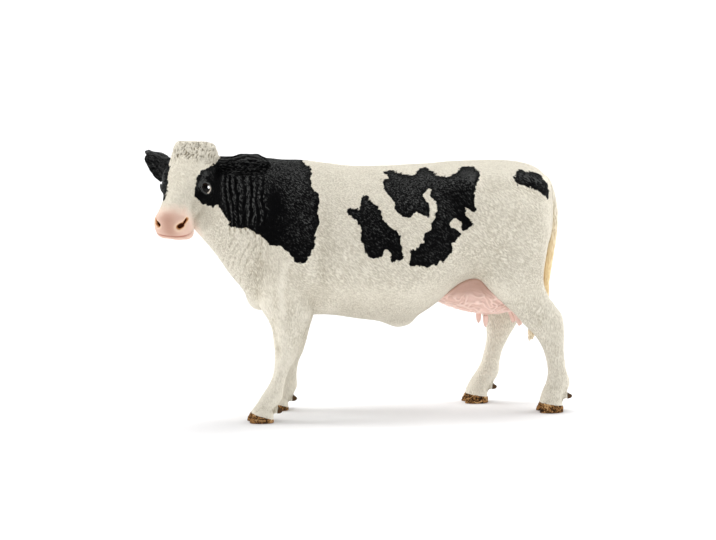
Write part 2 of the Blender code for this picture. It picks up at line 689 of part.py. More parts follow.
def child_collection(name, parent):
    group = bpy.data.collections.new(name)
    parent.children.link(group)
    return group


def moulding(name, mesh, colour, roughness, part):
    thing = place(name, mesh, part)
    thing.data.materials.clear()
    thing.data.materials.append(material(name, colour, roughness))
    return thing


def leg_middle(foot, level):
    # The middle of the leg at a height
    share = level / foot["height"]
    rows = np.array(foot["shares"])[::-1]
    side = math.copysign(1, foot["aside"])
    behind = np.interp(share, rows[:, 0], rows[:, 1 if side < 0 else 2])
    inward = np.interp(share, rows[:, 0], rows[:, 5])
    return Vector((foot["along"] + behind * foot["height"],
                   foot["aside"] + side * inward * foot["width"], level))


def claw(bm, foot, side):
    aside = foot["aside"] + side * (CLAW_WIDTH + CLAW_CLEFT) / 2
    rings = []
    for level, toe, heel, across in claw_shares:
        centre = Vector((foot["along"], aside, level * CLAW_HEIGHT))
        rings.append(ring(centre, Vector((0, 1, 0)), Vector((-1, 0, 0)),
                          across * CLAW_WIDTH / 2, toe * CLAW_LENGTH, heel * CLAW_LENGTH,
                          TOE_ROUNDNESS, HEEL_ROUNDNESS, CLAW_POINTS))
    add_loft(bm, rings)


def dewclaw(bm, foot, side):
    behind, apart, up = foot["dewclaw"]
    centre = Vector((foot["along"] + behind * CLAW_LENGTH,
                     foot["aside"] + side * apart * CLAW_WIDTH, up * CLAW_HEIGHT))
    half_sizes = [share * DEWCLAW_DIAMETER / 2 for share in DEWCLAW_STRETCH_SHARES]
    add_ball(bm, centre, half_sizes, fineness=DEWCLAW_POINTS)


def add_leg_moulding(foot, mesh, part, cutters, torso_cuts):
    name = foot["name"]
    region = child_collection(name + "_cuts", cutters)
    seam = foot["seam"]
    middle = leg_middle(foot, seam)
    half = foot["depth"] * REGION_SHARE
    side = math.copysign(1, foot["aside"])
    inner = 0
    outer = side * BARREL_WIDTH
    front = min(foot["along"] - CLAW_LENGTH, middle.x - half)
    back = max(foot["along"] + CLAW_LENGTH, middle.x + half)
    low = Vector((front, min(inner, outer), 0))
    high = Vector((back, max(inner, outer), seam - CEMENT_GAP / 2))
    keep = as_cutter(name + "_region", block(low, high), region)
    leg = moulding(name, mesh, WHITE, COAT_ROUGHNESS, part)
    boolean(leg, "INTERSECT", keep)

    additions = child_collection(name + "_additions", cutters)
    start = middle - Vector((0, 0, LEG_SPIGOT_LENGTH * SPIGOT_ROOT_SHARE))
    length = LEG_SPIGOT_LENGTH * (1 + SPIGOT_ROOT_SHARE) - CEMENT_GAP
    up = Vector((0, 0, 1))
    as_cutter(name + "_spigot", bar(start, up, length, LEG_SPIGOT_DIAMETER), additions)
    for side in (-1, 1):
        bm = bmesh.new()
        claw(bm, foot, side)
        as_cutter(name + "_claw", bm, additions)
        bm = bmesh.new()
        dewclaw(bm, foot, side)
        as_cutter(name + "_dewclaw", bm, additions)
    boolean(leg, "UNION", additions)

    low.z = -CUT_OVERRUN
    high.z = seam + CEMENT_GAP / 2
    as_cutter(name + "_room", block(low, high), torso_cuts)
    as_cutter(name + "_socket", bar(start, up, length + 2 * CEMENT_GAP,
                                    LEG_SPIGOT_DIAMETER + 2 * CEMENT_GAP), torso_cuts)
    return leg


def neck_turn():
    # Turns a block so that its X axis runs along the neck, from its seam to the head
    way = neck_way()
    turn = way.to_track_quat("X", "Z").to_matrix().to_4x4()
    return Matrix.Translation(neck_seam_point()) @ turn


def neck_way():
    return Vector((-math.cos(NECK_RISE) * math.cos(NECK_TURN),
                   -math.cos(NECK_RISE) * math.sin(NECK_TURN), math.sin(NECK_RISE)))


def add_head_moulding(mesh, part, cutters, torso_cuts):
    cuts = child_collection("head_cuts", cutters)
    turn = neck_turn()
    reach = 3 * HEAD_LENGTH
    low = Vector((CEMENT_GAP / 2, -reach, -reach))
    high = Vector((reach, reach, reach))
    keep = as_cutter("head_region", block(low, high, turn), cuts)
    head = moulding("head_and_neck", mesh, WHITE, COAT_ROUGHNESS, part)
    boolean(head, "INTERSECT", keep)
    low.x = -CEMENT_GAP / 2
    as_cutter("head_room", block(low, high, turn), torso_cuts)

    additions = child_collection("head_additions", cutters)
    way = neck_way()
    start = turn.translation + way * NECK_SPIGOT_LENGTH * SPIGOT_ROOT_SHARE
    length = NECK_SPIGOT_LENGTH * (1 + SPIGOT_ROOT_SHARE) - CEMENT_GAP
    as_cutter("neck_spigot", bar(start, -way, length, NECK_SPIGOT_DIAMETER), additions)
    as_cutter("neck_socket", bar(start, -way, length + 2 * CEMENT_GAP,
                                 NECK_SPIGOT_DIAMETER + 2 * CEMENT_GAP), torso_cuts)
    for side in (-1, 1):
        bm = bmesh.new()
        along, aside, up = EYE_SHARES
        centre = head_point((along, side * aside, up))
        outwards, upwards = EYE_LOOK_SHARES
        look = (HEAD_LEFT * side * outwards + HEAD_UP * upwards).normalized()
        centre += look * (EYE_SETTING - EYE_DIAMETER / 2)
        add_ball(bm, centre, [EYE_DIAMETER / 2] * 3, fineness=EYE_POINTS)
        as_cutter("eye", bm, additions)
    boolean(head, "UNION", additions)
    return head


def add_ear(name, root_shares, way_shares, fit, head_sockets, part, cutters):
    root = head_point(root_shares)
    along, aside, up = way_shares
    way = (HEAD_FORWARD * along + HEAD_LEFT * aside + HEAD_UP * up).normalized()
    upwards, forwards = EAR_BREADTH_SHARES
    wide = HEAD_UP * upwards + HEAD_FORWARD * forwards
    wide = (wide - way * wide.dot(way)).normalized()
    thick = wide.cross(way)
    if thick.dot(HEAD_UP + HEAD_FORWARD) < 0:
        thick = -thick
    bm = bmesh.new()
    rings = []
    for share, half, bend, body in smooth_rows(ear_shares, SMALL_ROW_COUNT):
        centre = root + way * share * EAR_LENGTH - wide * bend * EAR_WIDTH
        points = []
        for k in range(EAR_POINTS):
            angle = 2 * math.pi * k / EAR_POINTS
            across = half * EAR_WIDTH * math.cos(angle)
            hollow = EAR_HOLLOW_SHARE * across ** 2 / EAR_WIDTH
            through = body * EAR_THICKNESS * math.sin(angle)
            points.append(centre + wide * across + thick * (hollow + through))
        rings.append(points)
    add_loft(bm, rings)
    ear = moulding(name, mesh_of(bm, name), BLACK, COAT_ROUGHNESS, part)
    boolean(ear, "DIFFERENCE", fit)
    start = root + way * EAR_LENGTH * EAR_SPIGOT_SHARE
    length = EAR_LENGTH * EAR_SPIGOT_SHARE + SMALL_SPIGOT_LENGTH
    spigot = as_cutter(name + "_spigot", bar(start, -way, length, SMALL_SPIGOT_DIAMETER), cutters)
    boolean(ear, "UNION", spigot)
    as_cutter(name + "_socket", bar(start, -way, length + CEMENT_GAP,
                                    SMALL_SPIGOT_DIAMETER + 2 * CEMENT_GAP), head_sockets)
    return ear


def add_udder(fit, part, cutters, torso_cuts):
    base = udder_base()
    rings = []
    for level, length, width, behind in smooth_rows(udder_shares, SMALL_ROW_COUNT):
        centre = base + Vector((behind * UDDER_LENGTH, 0, -level * UDDER_DROP))
        rings.append(ring(centre, Vector((1, 0, 0)), Vector((0, 1, 0)),
                          length * UDDER_LENGTH / 2, width * UDDER_WIDTH / 2,
                          width * UDDER_WIDTH / 2, UDDER_ROUNDNESS, UDDER_ROUNDNESS,
                          UDDER_POINTS))
    bm = bmesh.new()
    add_loft(bm, rings)
    udder = moulding("udder", mesh_of(bm, "udder"), UDDER_PINK, SKIN_ROUGHNESS, part)
    boolean(udder, "DIFFERENCE", fit)
    additions = child_collection("udder_additions", cutters)
    tips = TEAT_OVERLAP - TEAT_LENGTH - UDDER_DROP
    for along, across in teat_shares:
        for side in (-1, 1):
            bm = bmesh.new()
            tip = base + Vector((along * UDDER_LENGTH, side * across * UDDER_WIDTH, tips))
            rings = []
            for level, size in teat_profile_shares:
                centre = tip + Vector((0, 0, level * TEAT_LENGTH))
                radius = size * TEAT_DIAMETER / 2
                rings.append(ring(centre, Vector((1, 0, 0)), Vector((0, 1, 0)),
                                  radius, radius, radius, count=TEAT_POINTS))
            add_loft(bm, rings)
            as_cutter("teat", bm, additions)
    up = Vector((0, 0, 1))
    start = base - up * UDDER_DROP * UDDER_SPIGOT_SHARE
    length = UDDER_DROP * UDDER_SPIGOT_SHARE + UDDER_SPIGOT_LENGTH
    as_cutter("udder_spigot", bar(start, up, length, UDDER_SPIGOT_DIAMETER), additions)
    boolean(udder, "UNION", additions)
    as_cutter("udder_socket", bar(start, up, length + CEMENT_GAP,
                                  UDDER_SPIGOT_DIAMETER + 2 * CEMENT_GAP), torso_cuts)
    return udder


def add_tail(fit, part, cutters, torso_cuts):
    curve = bpy.data.curves.new("tail", "CURVE")
    curve.dimensions = "3D"
    curve.bevel_depth = TAIL_DIAMETER / 2
    curve.bevel_resolution = 3
    curve.use_fill_caps = True
    rows = smooth_rows(tail_shares, SMALL_ROW_COUNT)
    spline = curve.splines.new("POLY")
    spline.points.add(len(rows) - 1)
    for point, (along, aside, up, size) in zip(spline.points, rows):
        point.co = (*body_point((along, aside, up)), 1)
        point.radius = size
    guide = place("tail_line", curve, cutters)
    mesh = baked(guide)
    bpy.data.objects.remove(guide)
    bm = bmesh.new()
    bm.from_mesh(mesh)
    bmesh.ops.remove_doubles(bm, verts=bm.verts, dist=WELD)
    tail = moulding("tail", mesh_of(bm, "tail"), WHITE, COAT_ROUGHNESS, part)
    boolean(tail, "DIFFERENCE", fit)
    root = body_point(TAIL_ROOT_SHARES)
    way = Vector(TAIL_SPIGOT_WAY_SHARES).normalized()
    start = root
    length = TAIL_DIAMETER + SMALL_SPIGOT_LENGTH
    spigot = as_cutter("tail_spigot", bar(start, way, length, SMALL_SPIGOT_DIAMETER), cutters)
    boolean(tail, "UNION", spigot)
    as_cutter("tail_socket", bar(start, way, length + CEMENT_GAP,
                                 SMALL_SPIGOT_DIAMETER + 2 * CEMENT_GAP), torso_cuts)
    return tail


def centre_part(part, cutters):
    # Puts the middle of the whole animal's box over the origin, on the ground
    graph = bpy.context.evaluated_depsgraph_get()
    corners = [thing.matrix_world @ Vector(corner)
               for thing in part.objects for corner in thing.evaluated_get(graph).bound_box]
    middle = [(min(c[k] for c in corners) + max(c[k] for c in corners)) / 2 for k in (0, 1)]
    origin = place("ground_point", None, part)
    for thing in list(part.objects) + list(cutters.all_objects):
        if thing != origin:
            thing.parent = origin
    origin.location = (-middle[0], -middle[1], 0)


def main():
    clear_scene()
    part = new_collection("toy_farm_animal")
    cutters = new_collection("cutters")
    clay = make_clay(cutters)
    head_mesh = thinned(clay, HEAD_CLAY_FACES, cutters)
    leg_mesh = thinned(head_mesh, LEG_CLAY_FACES, cutters)
    torso_mesh = thinned(leg_mesh, TORSO_CLAY_FACES, cutters)
    fit_mesh = leg_mesh.copy()
    swell(fit_mesh, CEMENT_GAP)
    fit = place("fit", fit_mesh, cutters)
    fit.hide_render = True
    fit.display_type = "WIRE"

    torso_cuts = child_collection("torso_cuts", cutters)
    head_sockets = child_collection("head_sockets", cutters)
    for foot in feet:
        add_leg_moulding(foot, leg_mesh.copy(), part, cutters, torso_cuts)
    head = add_head_moulding(head_mesh, part, cutters, torso_cuts)
    for name, root_shares, way_shares in (
            ("left_ear", LEFT_EAR_ROOT_SHARES, LEFT_EAR_WAY_SHARES),
            ("right_ear", RIGHT_EAR_ROOT_SHARES, RIGHT_EAR_WAY_SHARES)):
        add_ear(name, root_shares, way_shares, fit, head_sockets, part, cutters)
    boolean(head, "DIFFERENCE", head_sockets)
    add_udder(fit, part, cutters, torso_cuts)
    add_tail(fit, part, cutters, torso_cuts)
    torso = moulding("torso", torso_mesh, WHITE, COAT_ROUGHNESS, part)
    boolean(torso, "DIFFERENCE", torso_cuts)
    centre_part(part, cutters)


main()
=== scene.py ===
import math
from itertools import product

import bmesh
import bpy
import numpy as np
from mathutils import Matrix, Vector


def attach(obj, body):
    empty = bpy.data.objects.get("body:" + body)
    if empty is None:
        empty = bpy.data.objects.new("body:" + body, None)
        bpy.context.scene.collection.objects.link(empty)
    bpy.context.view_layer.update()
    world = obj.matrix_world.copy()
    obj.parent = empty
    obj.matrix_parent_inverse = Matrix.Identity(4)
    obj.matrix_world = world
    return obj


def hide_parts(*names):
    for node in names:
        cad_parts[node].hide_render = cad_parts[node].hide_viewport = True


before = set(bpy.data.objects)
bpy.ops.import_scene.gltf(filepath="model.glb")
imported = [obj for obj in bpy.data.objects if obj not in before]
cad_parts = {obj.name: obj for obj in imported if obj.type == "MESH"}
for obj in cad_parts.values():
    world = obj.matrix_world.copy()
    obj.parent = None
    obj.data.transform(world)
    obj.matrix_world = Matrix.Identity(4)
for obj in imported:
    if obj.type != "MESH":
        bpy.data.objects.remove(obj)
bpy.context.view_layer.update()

mm = 0.001
weldGap = 0.001 * mm
cutGap = 0.00001 * mm
# the animal's own middle plane and ground point, seen from the frame's origin
bodyOrigin = Vector((1.1389, 2.4346, 0)) * mm


# camera
picture = {
    "width": 716,
    "height": 540,
    "azimuth": -12,
    "elevation": 7.5,
    "distance": 1.0,
    "pixelsPerMetre": 3260,
    "aimRight": -0.92 * mm,
    "aimUp": 43.56 * mm,
    "sensor": 36,
    "farEnd": 20,
}


def cameraAxes():
    around = math.radians(picture["azimuth"])
    rise = math.radians(picture["elevation"])
    back = Vector((math.sin(around) * math.cos(rise), -math.cos(around) * math.cos(rise),
                   math.sin(rise)))
    right = Vector((math.cos(around), math.sin(around), 0))
    return right, back.cross(right), back


def makeCamera():
    right, up, back = cameraAxes()
    place = (bodyOrigin + right * picture["aimRight"] + up * picture["aimUp"]
             + back * picture["distance"])
    data = bpy.data.cameras.new("camera")
    data.sensor_width = picture["sensor"]
    data.lens = (picture["pixelsPerMetre"] * picture["distance"] * picture["sensor"]
                 / picture["width"])
    data.clip_end = picture["farEnd"]
    camera = bpy.data.objects.new("camera", data)
    camera.matrix_world = Matrix.Translation(place) @ Matrix(
        (right, up, back)).transposed().to_4x4()
    bpy.context.scene.collection.objects.link(camera)
    bpy.context.scene.camera = camera


makeCamera()


# meshes as arrays
def places(mesh):
    out = np.empty(len(mesh.vertices) * 3)
    mesh.vertices.foreach_get("co", out)
    return out.reshape(-1, 3)


def normalsOf(mesh):
    out = np.empty(len(mesh.vertices) * 3)
    mesh.vertex_normals.foreach_get("vector", out)
    return out.reshape(-1, 3)


def setPlaces(mesh, new):
    mesh.vertices.foreach_set("co", new.ravel())
    mesh.update()


def setValues(mesh, name, values):
    layer = mesh.attributes.new(name, "FLOAT", "POINT")
    layer.data.foreach_set("value", np.asarray(values, np.float32))


def inBody(points):
    # millimetres from the animal's own ground point
    return (points - np.array(bodyOrigin)) / mm


def clamp(values):
    return np.clip(values, 0, 1)


def ramp(values, start, end):
    t = clamp((values - start) / (end - start))
    return t * t * (3 - 2 * t)


def noise(points, seed):
    # smooth noise from about -1 to 1, with one swell per unit; the large primes scatter it
    cell = np.floor(points).astype(np.int64)
    local = points - cell
    fade = local ** 3 * (local * (local * 6 - 15) + 10)
    total = np.zeros(len(points))
    for corner in product((0, 1), repeat=3):
        corner = np.array(corner)
        at = cell + corner
        mix = (at[:, 0] * 73856093) ^ (at[:, 1] * 19349663) ^ (at[:, 2] * 83492791) ^ (seed * 7919)
        mix = (mix ^ (mix >> 13)) * 1274126177
        mix = mix ^ (mix >> 16)
        turn = (mix & 0xffff) / 65536 * 2 * math.pi
        lift = ((mix >> 20) & 0xffff) / 32768 - 1
        flat = np.sqrt(1 - lift ** 2)
        away = local - corner
        slope = (flat * np.cos(turn) * away[:, 0] + flat * np.sin(turn) * away[:, 1]
                 + lift * away[:, 2])
        weight = np.where(corner == 1, fade, 1 - fade).prod(axis=1)
        total += weight * slope
    return total * 1.6


def noises(points, seed):
    # three noises at once, to push places about
    return np.stack([noise(points, seed + k) for k in range(3)], axis=1)


def waves(values, centres, width):
    # a rounded ridge at each centre
    return sum(np.exp(-((values - centre) / width) ** 2) for centre in centres)


def relax(mesh, rounds, share=None):
    # plain smoothing, less of it where share is low
    edges = np.empty(len(mesh.edges) * 2, np.int64)
    mesh.edges.foreach_get("vertices", edges)
    a, b = edges.reshape(-1, 2).T
    count = len(mesh.vertices)
    ends = np.bincount(a, minlength=count) + np.bincount(b, minlength=count)
    points = places(mesh)
    share = np.ones(count) if share is None else share
    for _ in range(rounds):
        middle = np.stack([np.bincount(a, points[b, k], count)
                           + np.bincount(b, points[a, k], count) for k in range(3)], axis=1)
        middle /= ends[:, None]
        points += (middle - points) * 0.5 * share[:, None]
    setPlaces(mesh, points)


def hollowness(mesh, rounds):
    # how deep each point lies below its smoothed surroundings, in millimetres
    smooth = mesh.copy()
    relax(smooth, rounds)
    depth = ((places(smooth) - places(mesh)) * normalsOf(mesh)).sum(axis=1) / mm
    bpy.data.meshes.remove(smooth)
    return depth


def nearLine(points, line, width):
    # 1 on a line of points, falling to 0 away from it
    line = np.array(line, float)
    nearest = np.full(len(points), np.inf)
    for start, end in zip(line, line[1:]):
        run = end - start
        t = clamp((points - start) @ run / (run @ run))
        nearest = np.minimum(nearest, np.linalg.norm(points - start - t[:, None] * run, axis=1))
    return np.exp(-(nearest / width) ** 2)


def inPicture(points):
    # where a point shows in the photo, in its pixels
    right, up, back = (np.array(v) for v in cameraAxes())
    local = points - np.array(bodyOrigin)
    near = picture["pixelsPerMetre"] / (1 - local @ back / picture["distance"])
    across = picture["width"] / 2 + (local @ right - picture["aimRight"]) * near
    down = picture["height"] / 2 - (local @ up - picture["aimUp"]) * near
    return np.stack([across, down], axis=1)


def insideOutline(points, outline):
    # signed distance to a closed outline, positive inside
    outline = np.array(outline, float)
    nearest = np.full(len(points), np.inf)
    inside = np.zeros(len(points), bool)
    x, y = points.T
    for start, end in zip(outline, np.roll(outline, -1, axis=0)):
        run = end - start
        t = clamp((points - start) @ run / (run @ run))
        gap = np.linalg.norm(points - start - t[:, None] * run, axis=1)
        nearest = np.minimum(nearest, gap)
        if start[1] != end[1]:
            crosses = (start[1] > y) != (end[1] > y)
            inside ^= crosses & (x < start[0] + (y - start[1]) * run[0] / run[1])
    return np.where(inside, nearest, -nearest)


# solids, remeshed as clay
def welded(names, bm=None):
    # the nodes' own meshes with their loose triangles joined, added to bm if there is one
    bm = bm or bmesh.new()
    for name in names:
        bm.from_mesh(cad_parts[name].data)
    bmesh.ops.remove_doubles(bm, verts=bm.verts, dist=weldGap)
    return bm


def capOpenEdges(bm):
    rim = [edge for edge in bm.edges if edge.is_boundary]
    bmesh.ops.holes_fill(bm, edges=rim, sides=0)
    for edge in rim:
        edge.smooth = False


def cutAway(bm, point, outwards):
    # removes what lies beyond a plane and closes the cut
    bmesh.ops.bisect_plane(bm, geom=bm.verts[:] + bm.edges[:] + bm.faces[:], dist=cutGap,
                           plane_co=point, plane_no=outwards, clear_outer=True)
    capOpenEdges(bm)


def clay(bm, name, voxel, swell):
    # one even skin over everything in bm, with the joints between the mouldings closed
    bm.normal_update()
    for vertex in bm.verts:
        vertex.co += vertex.normal * swell
    mesh = bpy.data.meshes.new(name)
    bm.to_mesh(mesh)
    bm.free()
    thing = bpy.data.objects.new(name, mesh)
    bpy.context.scene.collection.objects.link(thing)
    remesh = thing.modifiers.new("remesh", "REMESH")
    remesh.mode = "VOXEL"
    remesh.voxel_size = voxel
    graph = bpy.context.evaluated_depsgraph_get()
    skin = bpy.data.meshes.new_from_object(thing.evaluated_get(graph))
    bpy.data.objects.remove(thing)
    setPlaces(skin, places(skin) - normalsOf(skin) * swell)
    return skin


def finished(name, mesh, node, finish):
    # a finished piece: it rides on the body and stands for its node
    mesh.materials.clear()
    mesh.materials.append(finish)
    mesh.shade_smooth()
    piece = bpy.data.objects.new(name, mesh)
    bpy.context.scene.collection.objects.link(piece)
    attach(piece, "root")
    if node:
        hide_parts(node)
    print("made", name, len(mesh.polygons), "faces")


# where things are on the head
headPlan = {
    "yaw": 53,
    "pitch": 52,
    "poll": (-53.0, -9.6, 82.5),
    "length": 27.5,
    "width": 15.5,
    "depth": 15.5,
    "eyes": {1: (0.425, 0.495, -0.08), -1: (0.425, -0.470, -0.07)},
    "eyeLook": (0.85, 0.50),
    "eyeDiameter": 4.7,
    "eyeSetting": 0.50,
    "pupilLook": (0.31, 0.75, 0.58),
    "eyeCorner": (0.30, 0.76, -0.58),
    # where the painted glint sits on each eye
    "paintedGlint": {1: (0.01, 0.94, 0.35), -1: (0.05, -0.55, 0.83)},
    "eyeBallShare": 0.99,
    "corneaHeight": 0.08,
    "corneaEdge": (0.6, 0.95),
}


def headAxes():
    yaw = math.radians(headPlan["yaw"])
    pitch = math.radians(headPlan["pitch"])
    forward = np.array((-math.cos(yaw) * math.cos(pitch), -math.sin(yaw) * math.cos(pitch),
                        -math.sin(pitch)))
    left = np.array((math.sin(yaw), -math.cos(yaw), 0))
    return forward, left, -np.cross(left, forward)


headForward, headLeft, headUp = headAxes()
headAxisTable = np.stack([headForward, headLeft, headUp], axis=1)


def onHead(along, aside, up):
    # shares of the head's size to millimetres in the body's frame
    return (np.array(headPlan["poll"]) + headForward * along * headPlan["length"]
            + headLeft * aside * headPlan["width"] + headUp * up * headPlan["depth"])


def inHead(points):
    # millimetres along the face, to the left and out of the forehead
    return (inBody(points) - np.array(headPlan["poll"])) @ headAxisTable


def eyePlace(side):
    outwards, upwards = headPlan["eyeLook"]
    look = headLeft * side * outwards + headUp * upwards
    look /= np.linalg.norm(look)
    centre = onHead(*headPlan["eyes"][side])
    centre = centre + look * (headPlan["eyeSetting"] - headPlan["eyeDiameter"] / 2)
    return centre, look


# black patches, as outlines in the photo's pixels
leftPatches = {
    "shoulder": (
        (222, 146), (301, 146), (302.8, 162), (312, 168.8), (310.8, 176.9), (311.5, 187.6),
        (318.8, 194.3), (318.8, 202.3), (317.5, 209), (319.5, 223.7), (314.8, 234.5),
        (314.8, 243.8), (312, 250.5), (306.8, 261.2), (300, 263.3), (294, 260.6),
        (290.7, 253.2), (281.3, 246.5), (269.3, 245.2), (266.6, 239.1), (255.9, 232.5),
        (246.5, 227.8), (231.8, 227), (227.8, 225), (229.8, 222.4), (223.7, 213),
        (219, 206.3), (217.7, 204.3), (213, 207), (202.3, 203), (195.6, 195.6), (195, 187.6),
        (197, 179.6), (202.3, 170.2), (209, 168.2), (215.7, 163.5), (219.7, 158.8)),
    "flank": (
        (364.2, 194.9), (361.6, 198), (360.6, 205), (360.6, 211), (354.5, 208.7),
        (348.4, 208.2), (346.8, 211.2), (350.4, 215.3), (357.6, 221.4), (361.1, 226.5),
        (361.6, 238.8), (365.2, 251), (368.3, 257.1), (373.9, 258.7), (382, 255.6),
        (384.6, 252), (387.1, 249), (390.2, 252), (392.2, 261.2), (395.3, 262.2),
        (396.3, 260.2), (401.4, 260.2), (403, 257.1), (401.9, 250), (399.4, 241.8),
        (399.9, 236.7), (396.3, 230.6), (390.2, 227.6), (384.1, 220.4), (380, 211.2),
        (376.4, 205.1), (368.8, 200), (367.8, 195.9)),
    "loin": (
        (384.1, 171.9), (389.2, 169.9), (397.3, 171.9), (402.4, 174.5), (413.7, 175),
        (420.8, 168.4), (425.9, 167.6), (432, 171.4), (437.1, 175.5), (448.4, 177),
        (456.5, 172.4), (462.7, 167.3), (468.8, 166.1), (473.9, 166.8), (479.5, 171.9),
        (478, 179.6), (475.9, 187.8), (473.9, 192.9), (474.1, 203.1), (475.9, 213.8),
        (471.8, 211.7), (467.8, 208.2), (465.2, 206.1), (464.7, 211.2), (466.7, 218.4),
        (471.8, 220.4), (472.9, 224.5), (467.8, 229.6), (462.7, 230.1), (460.6, 225.5),
        (460.6, 221.4), (455.5, 217.9), (450.4, 221.4), (449.2, 224.5), (451.4, 229.1),
        (455.5, 228.6), (460.6, 234.2), (457.6, 238.8), (452.4, 242.9), (451.9, 252),
        (446.3, 259.2), (441.7, 263.3), (439.7, 261.2), (437.1, 265.3), (431, 265.3),
        (425.9, 267.9), (421.8, 265.3), (414.7, 265.8), (411.1, 267.9), (409.6, 261.2),
        (410.6, 251), (414.7, 250.5), (418.8, 247.4), (424.4, 241.8), (422.3, 239.8),
        (424.9, 236.7), (424.9, 233.2), (432, 230.6), (432, 223.5), (435.1, 217.3),
        (436.6, 207.1), (436.1, 201), (430.5, 195.9), (432, 189.3), (428, 189.8),
        (423.9, 191.8), (423.4, 198), (428.5, 203.1), (429, 208.2), (430.5, 216.3),
        (428, 217.9), (417.8, 212.2), (414.7, 211.2), (408.6, 218.4), (401.4, 215.3),
        (395.3, 208.2), (394.3, 203.1), (390.2, 195.9), (383.1, 189.3), (383.6, 183.7),
        (381.5, 179.1), (385.1, 179.1), (389.2, 179.6), (388.2, 176.5)),
    "rump": (
        (518.3, 168.7), (525, 170.6), (536.5, 173), (542.2, 177.3), (547, 184.4),
        (548.9, 192.1), (547.5, 199.3), (542.2, 193.1), (537.4, 189.2), (527.8, 186.8),
        (522.1, 184.4), (518.3, 184.9), (514.4, 177.3), (516.8, 173.4)),
}
# where patches end, in millimetres, and how far a surface faces the camera there
patchEnds = {
    "edgeOn": 0.06,
    "turned": 0.45,
    "withers": -18.2,
    "withersFacing": (0.25, 0.5),
    "withersReach": 9,
    "backFacing": 0.24,
    "backReach": 14,
    "sideOverlap": 0.5,
    "hiddenReach": 4,
    "hiddenAlong": (1.5, 17),
    "hiddenAside": -1,
    "farCheekAside": 2,
    "farOutside": -9.0,
    "faceHalfWidth": 16,
    "faceFromPoll": -6,
    "faceAbove": 48,
    "faceAhead": -38,
}
# the side of the face that is turned away, also in the photo's pixels
farFace = ((167.6, 160.7), (169.4, 168), (167.6, 179), (168, 186.5), (164.3, 199.7),
           (150, 203), (135, 200), (135, 150), (160, 152))
# the side that the photo doesn't show: along and up from the body's ground point
rightPatches = {
    "shoulder": (
        (-60, 95), (-17.5, 95), (-17.5, 79), (-13, 74), (-15, 68), (-9, 62), (-12, 56),
        (-18, 52), (-19, 47), (-26, 45), (-31, 50), (-36, 57), (-44, 62), (-60, 64)),
    "barrel": (
        (4, 71), (12, 74), (21, 71), (24, 64), (19, 60), (22, 53), (17, 46), (9, 47),
        (6, 53), (-1, 56), (-3, 63), (2, 66)),
    "thigh": (
        (38, 73), (46, 75), (53, 70), (54, 62), (49, 57), (50, 50), (44, 47), (40, 54),
        (34, 57), (31, 64), (35, 68)),
}
muzzleOutline = ((140, 213), (157, 212), (162, 209), (175, 208), (185, 210), (190.3, 216),
                 (194, 223), (195.6, 229), (199, 236), (196, 246), (150, 248), (140, 235))


def patchDistance(mesh):
    # millimetres inside the nearest black patch, negative outside
    ends = patchEnds
    points = places(mesh)
    body = inBody(points)
    pixels = inPicture(points)
    scale = picture["pixelsPerMetre"] * mm
    x, y, z = body.T
    facing = normalsOf(mesh) @ np.array(cameraAxes()[2])
    # where the surface turns away from the camera, a pixel is many millimetres of it
    stretch = ends["turned"] / np.clip(facing, ends["edgeOn"], ends["turned"])
    best = np.full(len(points), ends["farOutside"])
    for name, outline in leftPatches.items():
        depth = insideOutline(pixels, outline) / scale * stretch
        if name == "shoulder":
            # its rear edge runs straight across the withers
            seen = ramp(facing, *ends["withersFacing"])
            depth = np.minimum(depth, ends["withers"] - x + ends["withersReach"] * seen)
        if name in ("flank", "loin"):
            # these end short of the back line
            depth = np.minimum(depth, (facing - ends["backFacing"]) * ends["backReach"])
        best = np.maximum(best, np.minimum(depth, ends["sideOverlap"] - y))
    for outline in rightPatches.values():
        depth = insideOutline(body[:, [0, 2]], outline)
        best = np.maximum(best, np.minimum(depth, y + ends["sideOverlap"]))
    along, aside = inHead(points).T[:2]
    onFace = ((np.abs(aside) < ends["faceHalfWidth"]) & (along > ends["faceFromPoll"])
              & (z > ends["faceAbove"]) & (x < ends["faceAhead"]))
    first, last = ends["hiddenAlong"]
    hidden = np.minimum(-facing * ends["hiddenReach"], last - along)
    hidden = np.minimum(hidden, ends["hiddenAside"] - aside)
    hidden = np.minimum(hidden, along - first)
    far = np.maximum(insideOutline(pixels, farFace) / scale, hidden)
    best[onFace] = np.maximum(best, np.minimum(far, ends["farCheekAside"] - aside))[onFace]
    return best


# materials
def srgb(red, green, blue):
    def linear(c):
        c /= 255
        return c / 12.92 if c <= 0.04045 else ((c + 0.055) / 1.055) ** 2.4
    return (linear(red), linear(green), linear(blue), 1)


def wire(tree, kind, inputs=(), **settings):
    # adds a node, sets it up and connects it
    new = tree.nodes.new(kind)
    for name, value in settings.items():
        setattr(new, name, value)
    for socket, value in dict(inputs).items():
        if isinstance(value, bpy.types.NodeSocket):
            tree.links.new(value, new.inputs[socket])
        else:
            new.inputs[socket].default_value = value
    return new


def mixColours(tree, share, first, second):
    return wire(tree, "ShaderNodeMix", {0: share, 6: first, 7: second},
                data_type="RGBA").outputs[2]


def maths(tree, operation, *values):
    return wire(tree, "ShaderNodeMath", dict(enumerate(values)), operation=operation).outputs[0]


def between(tree, value, low, high, start=0.0, end=1.0):
    ranged = wire(tree, "ShaderNodeMapRange",
                  {0: value, 1: low, 2: high, 3: start, 4: end},
                  interpolation_type="SMOOTHSTEP")
    return ranged.outputs[0]


def vectors(tree, operation, first, second):
    return wire(tree, "ShaderNodeVectorMath", {0: first, 1: second},
                operation=operation).outputs[0]


def cloud(tree, where, scale, detail, **more):
    return wire(tree, "ShaderNodeTexNoise", {"Vector": where, "Scale": scale, "Detail": detail,
                                             **more}).outputs["Fac"]


def attribute(tree, name):
    return wire(tree, "ShaderNodeAttribute", attribute_name=name).outputs["Fac"]


